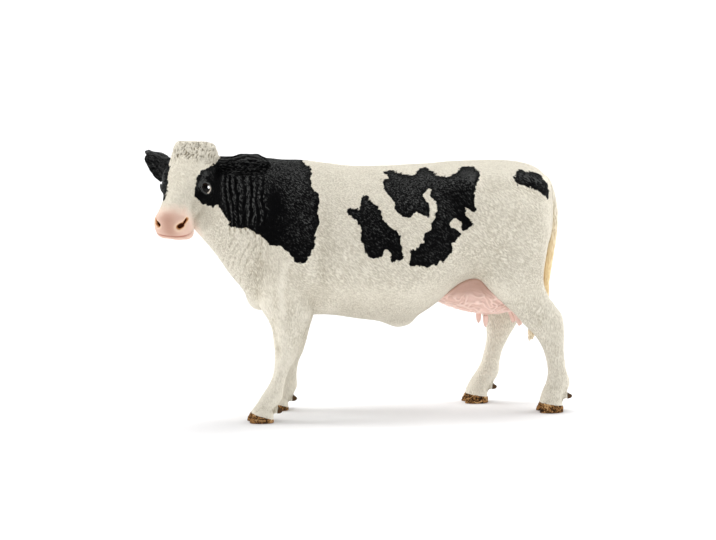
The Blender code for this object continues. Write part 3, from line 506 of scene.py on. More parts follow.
def newGroup(name, inputs, output):
    # an input whose value is None is a vector, the others are numbers
    tree = bpy.data.node_groups.new(name, "ShaderNodeTree")
    for socket, value in inputs.items():
        kind = "NodeSocketVector" if value is None else "NodeSocketFloat"
        made = tree.interface.new_socket(socket, in_out="INPUT", socket_type=kind)
        if value is not None:
            made.default_value = value
    tree.interface.new_socket(output, in_out="OUTPUT", socket_type="NodeSocketFloat")
    given = tree.nodes.new("NodeGroupInput")
    return tree, given.outputs, tree.nodes.new("NodeGroupOutput").inputs[0]


def group(tree, which, **inputs):
    return wire(tree, "ShaderNodeGroup", inputs, node_tree=which).outputs[0]


def hairStrokesGroup():
    # short engraved hairs that all lie one way
    tree, given, result = newGroup(
        "hairStrokes", {"Vector": None, "Turn": None, "Length": 0.0014, "Width": 0.0003,
                        "Waviness": 0.0002}, "Height")
    swirl = wire(tree, "ShaderNodeTexNoise", {"Vector": given["Vector"], "Scale": 420,
                                              "Detail": 1})
    centred = vectors(tree, "SUBTRACT", swirl.outputs["Color"], (0.5, 0.5, 0.5))
    pushed = wire(tree, "ShaderNodeVectorMath", {0: centred, "Scale": given["Waviness"]},
                  operation="SCALE")
    moved = vectors(tree, "ADD", given["Vector"], pushed.outputs[0])
    turned = wire(tree, "ShaderNodeVectorRotate", {"Vector": moved, "Rotation": given["Turn"]},
                  rotation_type="EULER_XYZ")
    size = wire(tree, "ShaderNodeCombineXYZ", {0: given["Length"], 1: given["Width"],
                                               2: given["Width"]})
    cells = vectors(tree, "DIVIDE", turned.outputs[0], size.outputs[0])
    height = between(tree, cloud(tree, cells, 1, 2, Roughness=0.6), 0.34, 0.66)
    tree.links.new(height, result)
    return tree


def brokenEdgeGroup():
    # a painted edge that follows the engraved hairs
    tree, given, result = newGroup(
        "brokenEdge", {"Vector": None, "Distance": 0.0, "Hair": 0.5, "Raggedness": 0.5,
                       "Softness": 0.12}, "Mask")
    bites = maths(tree, "SUBTRACT", cloud(tree, given["Vector"], 640, 2), 0.5)
    hairs = maths(tree, "MULTIPLY", maths(tree, "SUBTRACT", given["Hair"], 0.5), 0.16)
    moved = maths(tree, "MULTIPLY_ADD", maths(tree, "ADD", bites, hairs), given["Raggedness"],
                  given["Distance"])
    low = maths(tree, "MULTIPLY", given["Softness"], -1)
    tree.links.new(between(tree, moved, low, given["Softness"]), result)
    return tree


def paintWashGroup():
    # thinned dark paint that settles in the hollows and between the hairs
    tree, given, result = newGroup(
        "paintWash", {"Vector": None, "Hair": 0.5, "Hollow": 0.0, "Fine": 0.5, "Deep": 6.0},
        "Mask")
    patchy = between(tree, cloud(tree, given["Vector"], 160, 3, Roughness=0.6), 0.3, 0.7,
                     0.85, 1.1)
    low = maths(tree, "MULTIPLY", maths(tree, "SUBTRACT", 1.0, given["Hair"]), given["Fine"])
    fine = maths(tree, "MULTIPLY", low, patchy)
    deep = maths(tree, "MULTIPLY", given["Hollow"], given["Deep"])
    both = wire(tree, "ShaderNodeMath", {0: fine, 1: deep}, operation="ADD", use_clamp=True)
    tree.links.new(both.outputs[0], result)
    return tree


hairStrokes = hairStrokesGroup()
brokenEdge = brokenEdgeGroup()
paintWash = paintWashGroup()


def newMaterial(name, roughness, **shader):
    finish = bpy.data.materials.new(name)
    finish.use_nodes = True
    tree = finish.node_tree
    surface = tree.nodes["Principled BSDF"]
    surface.inputs["Roughness"].default_value = roughness
    for socket, value in shader.items():
        surface.inputs[socket.replace("_", " ")].default_value = value
    where = wire(tree, "ShaderNodeTexCoord").outputs["Object"]
    return finish, tree, surface, where


def paintOn(tree, surface, colour, height, strength, distance):
    # the colour, and a relief too fine for the mesh
    tree.links.new(colour, surface.inputs["Base Color"])
    bump = wire(tree, "ShaderNodeBump", {"Strength": strength, "Distance": distance,
                                         "Height": height})
    tree.links.new(bump.outputs[0], surface.inputs["Normal"])


coatPaint = {
    "white": srgb(243, 237, 221),
    "whiteWash": srgb(166, 155, 132),
    "black": srgb(5, 5, 6),
    "blackBrush": srgb(78, 79, 78),
    "pink": srgb(222, 190, 173),
    "pinkWash": srgb(170, 128, 110),
    "nostrilHalo": srgb(240, 212, 184),
    "mouth": srgb(166, 110, 96),
    "nostril": srgb(62, 26, 12),
    "nostrilEdge": srgb(196, 138, 90),
    "hoof": srgb(162, 118, 72),
    "hoofStreak": srgb(38, 22, 12),
    "hoofTan": srgb(208, 168, 118),
    "dewclaw": srgb(88, 66, 46),
    # how the hairs lie on each part of the coat
    "turns": {
        "body": (0, math.radians(-42), 0),
        "legHair": (0, math.radians(-82), 0),
        "neckHair": (0, math.radians(-76), 0),
        "faceHair": (math.radians(20), math.radians(-60), math.radians(30)),
    },
    "hairLength": 0.0011,
    "hairWidth": 0.00029,
    "hairDepth": 0.00022,
    "shine": 0.04,
    "whiteRoughness": 0.62,
    "blackRoughness": 0.55,
    # raggedness and softness of each painted edge
    "patchEdge": (1.8, 0.05),
    "muzzleEdge": (2.0, 2.4),
    "hoofEdge": (0.5, 0.12),
    "dewclawEdge": (0.25, 0.12),
    # the wash between the hairs, and how much more or less of it each place has
    "fineWash": 0.62,
    # less wash where the coat faces up is a painted highlight
    "fineWashMore": {"legHair": 0.02, "faceHair": -0.16, "paintedTopLight": -0.16, "paintedLegLight": -0.16},
    "deepWash": 2.8,
    "faceWash": 0.18,
    "muzzleWash": (0.30, 7.0),
    # dry brushing on the hairs and in the hollows, and a painted highlight on what faces up
    "brushHair": 0.8,
    "brushHollow": -3.8,
    "paintedTopHighlight": 0.42,
    "brushReach": (0.67, 1.15, 0.0, 0.95),
    "brushInside": (0.3, 1.6, 0.25, 1.0),
    "haloReach": (0.08, 0.6, 0.0, 0.7),
    "nostrilEdgeReach": (0.06, 0.40),
    "nostrilReach": (0.40, 0.75),
    "hoofStreakWidth": (0.022, 0.07),
    "hoofTanReach": (0.56, 0.68),
    "hoofStreakScale": 400,
    "hoofStreakBend": 2.0,
    "muzzleBare": 0.8,
}


def coatMaterial(name, face=False, hoof=False):
    paint = coatPaint
    finish, tree, surface, where = newMaterial(name, paint["blackRoughness"],
                                               Specular_IOR_Level=paint["shine"])
    strokes = {region: group(tree, hairStrokes, Vector=where, Turn=turn,
                             Length=paint["hairLength"], Width=paint["hairWidth"])
               for region, turn in paint["turns"].items()}
    hair = strokes.pop("body")
    for region, own in strokes.items():
        hair = wire(tree, "ShaderNodeMix", {0: attribute(tree, region), 2: hair, 3: own},
                    data_type="FLOAT").outputs[0]
    hollow = attribute(tree, "hollow")

    def edged(distance, edge):
        raggedness, softness = edge
        return group(tree, brokenEdge, Vector=where, Distance=attribute(tree, distance),
                     Hair=hair, Raggedness=raggedness, Softness=softness)

    def washed(fine, deep):
        return group(tree, paintWash, Vector=where, Hair=hair, Hollow=hollow, Fine=fine,
                     Deep=deep)

    mask = edged("patch", paint["patchEdge"])
    fine = paint["fineWash"]
    for place, more in paint["fineWashMore"].items():
        fine = maths(tree, "MULTIPLY_ADD", attribute(tree, place), more, fine)
    wash = maths(tree, "MULTIPLY_ADD", attribute(tree, "faceHair"), paint["faceWash"],
                 washed(fine, paint["deepWash"]))
    white = mixColours(tree, wash, paint["white"], paint["whiteWash"])
    # dry brushing catches the ridges and stops short of the patch's edge; the grey on what faces
    # up is a painted highlight
    raised = maths(tree, "MULTIPLY_ADD", hair, paint["brushHair"],
                   maths(tree, "MULTIPLY", hollow, paint["brushHollow"]))
    raised = maths(tree, "MULTIPLY_ADD", attribute(tree, "paintedTopLight"), paint["paintedTopHighlight"], raised)
    brushed = maths(tree, "MULTIPLY", between(tree, raised, *paint["brushReach"]),
                    between(tree, attribute(tree, "patch"), *paint["brushInside"]))
    black = mixColours(tree, brushed, paint["black"], paint["blackBrush"])
    colour = mixColours(tree, mask, white, black)
    strength = 1.0
    if face:
        pinkMask = edged("muzzle", paint["muzzleEdge"])
        pink = mixColours(tree, washed(*paint["muzzleWash"]), paint["pink"], paint["pinkWash"])
        pink = mixColours(tree, attribute(tree, "nose"), pink, paint["pinkWash"])
        pink = mixColours(tree, attribute(tree, "mouth"), pink, paint["mouth"])
        colour = mixColours(tree, pinkMask, colour, pink)
        halo = between(tree, attribute(tree, "nostrilRim"), *paint["haloReach"])
        colour = mixColours(tree, halo, colour, paint["nostrilHalo"])
        hole = attribute(tree, "nostril")
        for part in ("nostrilEdge", "nostril"):
            inside = between(tree, hole, *paint[part + "Reach"])
            colour = mixColours(tree, inside, colour, paint[part])
        # the muzzle is bare skin
        bare = maths(tree, "MULTIPLY", pinkMask, paint["muzzleBare"])
        strength = maths(tree, "SUBTRACT", 1.0, bare)
    if hoof:
        streak = cloud(tree, where, paint["hoofStreakScale"], 2,
                       Distortion=paint["hoofStreakBend"])
        ridge = maths(tree, "ABSOLUTE", maths(tree, "SUBTRACT", streak, 0.5))
        dark = between(tree, ridge, *paint["hoofStreakWidth"])
        light = between(tree, streak, *paint["hoofTanReach"])
        horn = mixColours(tree, dark, paint["hoofStreak"], paint["hoof"])
        horn = mixColours(tree, maths(tree, "MULTIPLY", light, dark), horn, paint["hoofTan"])
        colour = mixColours(tree, edged("horn", paint["hoofEdge"]), colour, horn)
        colour = mixColours(tree, edged("spur", paint["dewclawEdge"]), colour,
                            paint["dewclaw"])
    paintOn(tree, surface, colour, hair, strength, paint["hairDepth"])
    rough = between(tree, mask, 0.0, 1.0, paint["whiteRoughness"], paint["blackRoughness"])
    tree.links.new(rough, surface.inputs["Roughness"])
    return finish


print("shader groups made")


# sculpting

# where each way that the hairs lie fades in, in millimetres
hairRegions = {
    "legDown": (44, 32),
    "legBehind": (52, 60),
    "neckAhead": (-20, -36),
    "faceHalfWidth": 6,
    "faceDepth": 10,
    "faceAway": (4, 1),
    "faceAlong": (-6, 0),
}


def legHairShare(points):
    x, _, z = inBody(points).T
    return np.maximum(ramp(z, *hairRegions["legDown"]), ramp(x, *hairRegions["legBehind"]))


def neckHairShare(points):
    return ramp(inBody(points)[:, 0], *hairRegions["neckAhead"])


def faceHairShare(points):
    along, aside, up = inHead(points).T
    beside = np.maximum(np.abs(aside) - hairRegions["faceHalfWidth"], 0)
    under = np.maximum(-up - hairRegions["faceDepth"], 0)
    return (ramp(np.hypot(beside, under), *hairRegions["faceAway"])
            * ramp(along, *hairRegions["faceAlong"]))


# upright folds behind the cheek and slanting creases on the throat, placed in the photo's
# pixels and deep in millimetres
neckFolds = {
    "foldsAt": (227.5, 233, 238.5, 244.5, 250.5, 257, 263.5),
    "foldDepth": 0.42,
    "foldWidth": 1.2,
    "foldLean": 0.07,
    "foldMiddle": 200,
    "foldsFrom": (221, 227),
    "foldsTo": (272, 262),
    "foldTops": (168, 182),
    "foldEnds": (238, 222),
    "grain": 0.06,
    "grainSize": 0.9,
    "creasesAt": (236, 242.5, 248, 255, 262.5, 271),
    "creaseDepth": 0.20,
    "creaseWidth": 0.9,
    "creaseLean": 0.42,
    "creaseWobble": 0.8,
    "creaseMiddle": 228,
    "creasesFrom": (210, 225),
    "creasesTo": (285, 262),
    "creaseTops": (222, 236),
    "throatSlope": 0.45,
    "wobble": ((6.5, 4.2), (1.8, 0.6)),
    "fading": (3.4, 0.7, 1.2),
    "neckAhead": (-22, -30),
}


def neckRelief(mesh):
    folds = neckFolds
    points = places(mesh)
    body = inBody(points)
    across, down = inPicture(points).T
    wobble = sum(noise(body / size, 5 + k) * height
                 for k, (size, height) in enumerate(folds["wobble"]))
    size, least, change = folds["fading"]
    fading = clamp(least + noise(body / size, 7) * change)
    underside = down - folds["throatSlope"] * (across - folds["creaseMiddle"])
    where = (ramp(across, *folds["foldsFrom"]) * ramp(across, *folds["foldsTo"])
             * ramp(down, *folds["foldTops"]) * ramp(underside, *folds["foldEnds"]))
    upright = across + wobble - folds["foldLean"] * (down - folds["foldMiddle"])
    depth = waves(upright, folds["foldsAt"], folds["foldWidth"]) * folds["foldDepth"] * fading
    depth += noise(body / folds["grainSize"], 8) * folds["grain"]
    slanting = across + folds["creaseLean"] * (down - folds["creaseMiddle"])
    slanting += wobble * folds["creaseWobble"]
    creases = waves(slanting, folds["creasesAt"], folds["creaseWidth"]) * folds["creaseDepth"]
    below = (ramp(underside, *folds["creaseTops"]) * ramp(across, *folds["creasesFrom"])
             * ramp(across, *folds["creasesTo"]))
    return -(depth * where + creases * below * fading) * ramp(body[:, 0], *folds["neckAhead"])


hairClumps = {
    "lean": math.radians(-35),
    "size": (3.2, 1.2, 1.2),
    "height": 0.035,
    "broadSize": 7.0,
    "broadHeight": 0.06,
}


def coatRelief(points):
    # clumps of hair that the mesh can carry
    body = inBody(points)
    x, y, z = body.T
    turn = hairClumps["lean"]
    along = x * math.cos(turn) + z * math.sin(turn)
    across = -x * math.sin(turn) + z * math.cos(turn)
    clumps = noise(np.stack([along, across, y], axis=1) / np.array(hairClumps["size"]), 11)
    broad = noise(body / hairClumps["broadSize"], 12)
    return clumps * hairClumps["height"] + broad * hairClumps["broadHeight"]


# soft forms of the chest, the upper foreleg and the belly, on both sides: a line from the
# body's ground point, how wide it is and how far it stands out or in
bodyMarks = (
    (((-32.5, -3.0, 35.5), (-31.0, -8.0, 34.5)), 4.0, 2.0),
    (((-32.6, -13.5, 33.0), (-32.0, -12.5, 30.0), (-31.4, -12.0, 26.0), (-30.6, -12.0, 22.0)),
     2.8, -1.9),
    (((-33.8, -8.0, 32.2), (-32.6, -8.4, 27.0)), 3.0, -1.9),
    (((-26.4, -14.9, 48.0), (-27.5, -14.4, 40.5), (-26.8, -13.4, 33.5)), 1.3, 0.32),
    (((-29.4, -12.5, 46.0), (-29.8, -11.5, 40.0)), 1.8, -0.30),
    (((-14.6, -15.9, 56.0), (-13.8, -14.9, 43.2), (-13.4, -12.4, 37.5)), 3.2, -0.30),
    (((-18.9, -16.6, 50.0), (-18.1, -15.8, 43.0)), 2.2, 0.25),
    (((-18.6, -15.0, 31.0), (-18.0, -8.0, 32.0), (-12.0, -9.0, 34.0)), 4.2, 1.3),
    # the belly and the navel
    (((-15.0, 0.0, 31.4), (3.0, 0.0, 29.8)), 7.5, 0.5),
    (((12.0, 0.0, 27.6), (13.6, 0.0, 27.9)), 3.7, 0.8),
)


def softForms(points):
    body = inBody(points)
    lift = np.zeros(len(points))
    for line, width, height in bodyMarks:
        for side in (1, -1):
            mirrored = [(x, y * side, z) for x, y, z in line]
            lift += nearLine(body, mirrored, width) * height
    return lift


coatValues = {
    "patchGrowth": 0.08,
    "hollow": (-0.3, 0.22),
    "paintedTopLight": (-0.2, 1.0),
    # painted light on the lower legs: less wash makes them paler, those of the right side most of
    # all, which lie in the body's shade
    "paintedLegLight": (30, 8),
    "lowShare": 0.3,
    "rightShare": 1.2,
    "rightSide": (0, 4),
}


def addCoatValues(mesh, rounds):
    # what the coat's paint reads: patches, the ways of the hair, hollows, and what faces up, which
    # gets a painted highlight
    points = places(mesh)
    y, z = inBody(points)[:, 1:].T
    setValues(mesh, "patch", patchDistance(mesh) + coatValues["patchGrowth"])
    setValues(mesh, "legHair", legHairShare(points))
    setValues(mesh, "neckHair", neckHairShare(points))
    setValues(mesh, "faceHair", faceHairShare(points))
    setValues(mesh, "hollow", np.clip(hollowness(mesh, rounds), *coatValues["hollow"]))
    # how far each point faces up, for the painted highlight on the tops
    setValues(mesh, "paintedTopLight", ramp(normalsOf(mesh)[:, 2], *coatValues["paintedTopLight"]))
    # less wash on the lower and right legs, as painted light
    right = coatValues["rightShare"] * ramp(y, *coatValues["rightSide"])
    setValues(mesh, "paintedLegLight", ramp(z, *coatValues["paintedLegLight"]) * (coatValues["lowShare"] + right))


# where the pieces meet, as the solids do, in millimetres and degrees
seams = {
    "frontLevel": 30,
    "hindLevel": 34,
    "frontBefore": -8,
    "hindBehind": 25,
    "neck": (-39.0, -4.0, 66.0),
    "neckTurn": 15,
    "neckRise": 27,
    "overlap": 5,
}


def toFrame(x, y, z):
    return bodyOrigin + Vector((x, y, z)) * mm


def neckWay():
    turn = math.radians(seams["neckTurn"])
    rise = math.radians(seams["neckRise"])
    return Vector((-math.cos(rise) * math.cos(turn), -math.cos(rise) * math.sin(turn),
                   math.sin(rise)))


def reopened(mesh):
    # takes a mesh back into a bmesh, to be cut
    bm = bmesh.new()
    bm.from_mesh(mesh)
    bpy.data.meshes.remove(mesh)
    return bm


def meshFrom(bm, name):
    bm.normal_update()
    mesh = bpy.data.meshes.new(name)
    bm.to_mesh(mesh)
    bm.free()
    return mesh


# trunk
trunk = {
    "voxel": 0.50 * mm,
    "swell": 0.22 * mm,
    "smoothing": 34,
    "surroundings": 14,
    "legReach": 3,
}
legNodes = ("left_front_leg", "right_front_leg", "left_hind_leg", "right_hind_leg")
trunkCoat = coatMaterial("trunkCoat")


def cutLegs(bm):
    # opens the trunk where the legs' own pieces start
    def below(level, isLeg):
        middles = ((face, face.calc_center_median()) for face in bm.faces)
        return [face for face, middle in middles
                if isLeg((middle.x - bodyOrigin.x) / mm) and middle.z < level * mm]

    for level, isLeg in ((seams["frontLevel"], lambda x: x < seams["frontBefore"]),
                         (seams["hindLevel"], lambda x: x > seams["hindBehind"])):
        near = below(level + trunk["legReach"], isLeg)
        parts = set(near)
        for face in near:
            parts.update(face.verts)
            parts.update(face.edges)
        bmesh.ops.bisect_plane(bm, geom=list(parts), dist=cutGap,
                               plane_co=(0, 0, level * mm), plane_no=(0, 0, 1))
        bmesh.ops.delete(bm, geom=below(level, isLeg), context="FACES")
        capOpenEdges(bm)


def makeTrunk():
    mesh = clay(welded(("torso", "head_and_neck") + legNodes), "trunk", trunk["voxel"],
                trunk["swell"])
    relax(mesh, trunk["smoothing"])
    points = places(mesh)
    lift = coatRelief(points) + neckRelief(mesh) + softForms(points)
    setPlaces(mesh, points + normalsOf(mesh) * lift[:, None] * mm)
    addCoatValues(mesh, trunk["surroundings"])
    bm = reopened(mesh)
    cutAway(bm, toFrame(*seams["neck"]), neckWay())
    cutLegs(bm)
    finished("trunk", meshFrom(bm, "trunk"), "torso", trunkCoat)


makeTrunk()


# legs
legs = {
    "voxel": 0.25 * mm,
    "swell": 0.22 * mm,
    "smoothing": 26,
    "hoofSmoothing": 0.25,
    "hoofTop": (4, 8),
    "surroundings": 56,
    # the middle of the foot, then the dewclaws' places in claw sizes and the coronet's slope
    "left_front_leg": {"foot": (-33.1, -10.25), "behind": 0.66, "up": 1.10, "slope": 0.29},
    "right_front_leg": {"foot": (-24.6, 10.25), "behind": 0.66, "up": 1.10, "slope": 0.29},
    "left_hind_leg": {"foot": (57.0, -10.75), "behind": 0.70, "up": 1.55, "slope": 0.15},
    "right_hind_leg": {"foot": (38.7, 10.75), "behind": 0.70, "up": 1.55, "slope": 0.15},
    "clawLength": 7.6,
    "clawWidth": 4.1,
    "clawHeight": 3.1,
    "coronet": 3.15,
    "hornSwell": 0.10,
    "hornGrain": 0.07,
    "grainSize": 0.8,
    "hornEdge": (-0.2, 0.2),
    "hairEnds": (0.6, -0.6),
    "ringsFrom": (0, 0.5),
    "soleEdge": (0, 0.5),
    "hornRings": 0.05,
    "ringLean": 0.12,
    "ringTurns": 6.5,
    "dewclawBehind": 0.7,
    "dewclawAside": 0.36,
    "dewclawRadius": 1.25,
}
legCoat = coatMaterial("legCoat", hoof=True)


def hornRelief(body, horn, toe):
    # growth rings and grain on the hooves
    x, _, z = body.T
    rings = np.sin((z + legs["ringLean"] * (x - toe)) * legs["ringTurns"])
    relief = rings * ramp(horn, *legs["ringsFrom"]) * legs["hornRings"]
    relief += noise(body / legs["grainSize"], 21) * legs["hornGrain"] + legs["hornSwell"]
    return relief * ramp(horn, *legs["hornEdge"]) * ramp(z, *legs["soleEdge"])


def makeLeg(node):
    plan = legs[node]
    footX, footY = plan["foot"]
    front = "front" in node
    level = seams["frontLevel"] if front else seams["hindLevel"]
    edge = seams["frontBefore"] if front else seams["hindBehind"]
    stub = welded(("torso",))
    cutAway(stub, toFrame(0, 0, level + seams["overlap"]), Vector((0, 0, 1)))
    cutAway(stub, toFrame(0, 0, 0), Vector((0, -math.copysign(1, footY), 0)))
    cutAway(stub, toFrame(edge, 0, 0), Vector((1 if front else -1, 0, 0)))
    mesh = clay(welded((node,), stub), node, legs["voxel"], legs["swell"])
    soft = ramp(inBody(places(mesh))[:, 2], *legs["hoofTop"])
    relax(mesh, legs["smoothing"], np.maximum(soft, legs["hoofSmoothing"]))
    points = places(mesh)
    body = inBody(points)
    toe = footX - 0.5 * legs["clawLength"]
    horn = legs["coronet"] - plan["slope"] * (body[:, 0] - toe) - body[:, 2]
    lift = (coatRelief(points) + softForms(points)) * ramp(horn, *legs["hairEnds"])
    lift += hornRelief(body, horn, toe)
    points += normalsOf(mesh) * lift[:, None] * mm
    points[:, 2] = np.maximum(points[:, 2], 0)
    setPlaces(mesh, points)
    addCoatValues(mesh, legs["surroundings"])
    setValues(mesh, "horn", horn)
    spur = np.full(len(points), patchEnds["farOutside"])
    for half in (-1, 1):
        centre = (footX + plan["behind"] * legs["clawLength"] + legs["dewclawBehind"],
                  footY + half * legs["dewclawAside"] * legs["clawWidth"],
                  plan["up"] * legs["clawHeight"])
        gap = np.linalg.norm(body - np.array(centre), axis=1)
        spur = np.maximum(spur, legs["dewclawRadius"] - gap)
    setValues(mesh, "spur", spur)
    bm = reopened(mesh)
    cutAway(bm, toFrame(0, 0, level), Vector((0, 0, 1)))
    finished(node + "_coat", meshFrom(bm, node), node, legCoat)


for node in legNodes:
    makeLeg(node)


# head

# shares of the head's length, width and depth from the poll
mouthLine = ((1.004, 0.0, -0.272), (1.003, 0.11, -0.270), (0.996, 0.235, -0.262),
             (0.973, 0.336, -0.256), (0.927, 0.385, -0.270), (0.87, 0.40, -0.30))
head = {
    "voxel": 0.26 * mm,
    "swell": 0.22 * mm,
    "smoothing": 26,
    "surroundings": 44,
    # each nostril is a comma: a wide inner part and a narrow outer one
    "nostril": ((((0.944, 0.190, -0.08), (0.920, 0.250, -0.070)), 0.66),
                (((0.920, 0.250, -0.070), (0.888, 0.306, -0.036), (0.850, 0.335, -0.030)), 0.38),
                (((0.932, -0.242, -0.08), (0.915, -0.278, -0.065)), 0.56),
                (((0.915, -0.278, -0.065), (0.893, -0.305, -0.040), (0.866, -0.320, -0.028)),
                 0.34)),
    "nostrilDepth": 1.3,
    "nostrilRim": 0.25,
    # the tuft is cut flat on top and square at its corners: lines, widths and heights
    "tuftTop": ((((-0.16, -0.20, 0.10), (-0.16, 0.26, 0.06)), 4.2, -1.0),
                (((-0.08, 0.36, 0.04), (-0.02, 0.38, -0.06)), 2.6, 0.85),
                (((-0.08, -0.36, 0.04), (-0.02, -0.38, -0.06)), 2.4, 0.75)),
    # on both sides: the lips' corners, the muzzle's wings, the solid's own cleft filled up,
    # and the mouth with its raised edges
    "bothSides": ((((0.965, 0.30, -0.36), (0.93, 0.36, -0.34)), 1.5, 0.45),
                  (((0.74, 0.37, 0.00), (0.82, 0.40, -0.10)), 1.9, 0.55),
                  (((1.00, 0.0, -0.38), (0.98, 0.20, -0.38), (0.92, 0.36, -0.37)), 0.51, 0.15),
                  (mouthLine, 0.34, -0.30),
                  (mouthLine, 1.02, 0.10)),
    "mouthPaint": (0.42, 0.25, 0.6),
    "nosePaint": (((0.93, 0.0, 0.05), (0.985, 0.0, -0.12)), 3.2, 0.75),
    "pinkFrom": 16,
    "pinkShorter": 5,
    "pinkFarSide": (3, 7),
    "mouthEnds": (6.0, 3.5),
}
tuft = {
    "size": (3.6, 0.72, 0.9),
    "height": 0.32,
    "leans": ((0.35, 34), (-0.35, 36)),
    "bend": (2.6, 0.5),
    "sharpness": 2.6,
    "gain": 1.6,
    "base": -0.9,
    "endSize": (4.0, 0.9, 4.0),
    "endChange": 1.6,
    "along": (5.6, 2.6),
    "up": (-7, -3),
    "aside": (8.5, 6.5),
}
# towards the nose, the poll, the brow and the cheek; the right eye is wider open
lids = {
    "opening": {1: (1.60, 0.70, 1.45, 2.15), -1: (1.60, 1.60, 2.05, 2.05)},
    "height": 0.16,
    "edge": (0.94, 1.10),
    "depth": 0.7,
    "reach": (1.9, 1.20),
    "wrinkles": ((1.42, 0.07, 1.0), (1.78, 0.08, 0.6)),
    "wrinkleDepth": 0.13,
}
headCoat = coatMaterial("headCoat", face=True)


def headLine(line, side=1):
    return [onHead(along, side * aside, up) for along, aside, up in line]


def sculptEye(points, side):
    # sinks the clay under the eyeball and lays the lids over its rim
    centre, look = eyePlace(side)
    radius = headPlan["eyeDiameter"] / 2
    slit = headForward - look * (headForward @ look)
    slit /= np.linalg.norm(slit)
    high = np.cross(look, slit)
    if high @ headUp < 0:
        high = -high
    away = inBody(points) - centre
    deep, u, v = away @ look, away @ slit, away @ high
    below, above, inner, outer = lids["opening"][side]
    opening = np.sqrt((u / np.where(u > 0, below, above)) ** 2
                      + (v / np.where(v > 0, inner, outer)) ** 2)
    r = np.sqrt((u / below) ** 2 + (v / outer) ** 2)
    flat = np.minimum(np.sqrt(u ** 2 + v ** 2), radius)
    ball = np.sqrt(np.maximum(radius ** 2 - flat ** 2, 0))
    step = ramp(opening, *lids["edge"])
    target = (ball - lids["depth"]) * (1 - step) + np.maximum(ball + lids["height"], deep) * step
    hold = ramp(r, *lids["reach"]) * (deep > -1.0)
    wrinkles = sum(waves(r, (at,), width) * share for at, width, share in lids["wrinkles"])
    lift = (target - deep) * hold - wrinkles * lids["wrinkleDepth"] * (deep > -2.0)
    return points + (look * lift[:, None]) * mm


def tuftRelief(body, face):
    # strands that hang from the crown over the forehead and cross each other
    along, aside, up = face.T
    size, push = tuft["bend"]
    warp = noises(body / size, 31) * push
    strands = np.full(len(body), -1.0)
    for lean, seed in tuft["leans"]:
        own = np.stack([along, aside + lean * along, up], axis=1)
        ridge = np.abs(noise((own + warp) / np.array(tuft["size"]), seed))
        strands = np.maximum(strands, 1 - tuft["sharpness"] * ridge)
    ends = along + noise(face / np.array(tuft["endSize"]), 35) * tuft["endChange"]
    where = (ramp(ends, *tuft["along"]) * ramp(up, *tuft["up"])
             * ramp(np.abs(aside), *tuft["aside"]))
    return (tuft["gain"] * strands + tuft["base"]) * where * tuft["height"]


def addMuzzleValues(mesh, along, aside, hole, rim):
    scale = picture["pixelsPerMetre"] * mm
    pink = insideOutline(inPicture(places(mesh)), muzzleOutline) / scale
    # past the face's edge the pink only covers the end of the muzzle
    shorter = head["pinkShorter"] * ramp(-aside, *head["pinkFarSide"])
    pink = np.minimum(pink, along - head["pinkFrom"] - shorter)
    setValues(mesh, "muzzle", pink)
    setValues(mesh, "nostril", hole)
    setValues(mesh, "nostrilRim", rim)
    body = inBody(places(mesh))
    line, width, share = head["nosePaint"]
    setValues(mesh, "nose", nearLine(body, headLine(line), width) * share)
    width, least, more = head["mouthPaint"]
    mouth = np.maximum(nearLine(body, headLine(mouthLine, -1), width),
                       nearLine(body, headLine(mouthLine, 1), width))
    middle = ramp(np.abs(aside), *head["mouthEnds"])
    setValues(mesh, "mouth", mouth * (least + more * middle))


def makeHead():
    collar = welded(("torso",))
    way = neckWay()
    seamPoint = toFrame(*seams["neck"])
    cutAway(collar, seamPoint - way * seams["overlap"] * mm, -way)
    mesh = clay(welded(("head_and_neck",), collar), "head", head["voxel"], head["swell"])
    relax(mesh, head["smoothing"])
    points = places(mesh)
    body = inBody(points)
    face = inHead(points)
    lift = coatRelief(points) + neckRelief(mesh) + tuftRelief(body, face)
    hole = np.zeros(len(points))
    rim = np.zeros(len(points))
    for line, width in head["nostril"]:
        hole = np.maximum(hole, nearLine(body, headLine(line), width))
        rim = np.maximum(rim, nearLine(body, headLine(line), width * 2))
    lift += rim * head["nostrilRim"] - hole * head["nostrilDepth"]
    for line, width, height in head["tuftTop"]:
        lift += nearLine(body, headLine(line), width) * height
    for line, width, height in head["bothSides"]:
        for side in (-1, 1):
            lift += nearLine(body, headLine(line, side), width) * height
    points += normalsOf(mesh) * lift[:, None] * mm
    for side in (-1, 1):
        points = sculptEye(points, side)
    setPlaces(mesh, points)
    addCoatValues(mesh, head["surroundings"])
    addMuzzleValues(mesh, face[:, 0], face[:, 1], hole, rim)
    bm = reopened(mesh)
    cutAway(bm, seamPoint, -way)
    finished("head", meshFrom(bm, "head"), "head_and_neck", headCoat)


makeHead()


# eyes
eyePaint = {
    "pupil": srgb(5, 4, 4),
    "iris": srgb(24, 13, 7),
    "white": srgb(206, 196, 182),
    # as cosines of the angle from the gaze, the corner and the painted glint
    "pupilEdge": (0.86, 0.93),
    "irisEdge": (0.76, 0.80),
    "whiteEdge": (0.42, 0.50),
    "cornerEdge": (0.2, 0.45),
    "paintedGlintEdge": (0.979, 0.985),
    "streaks": 0.06,
    "streakScale": 2600,
    "gloss": 0.07,
    "shine": 0.12,
}


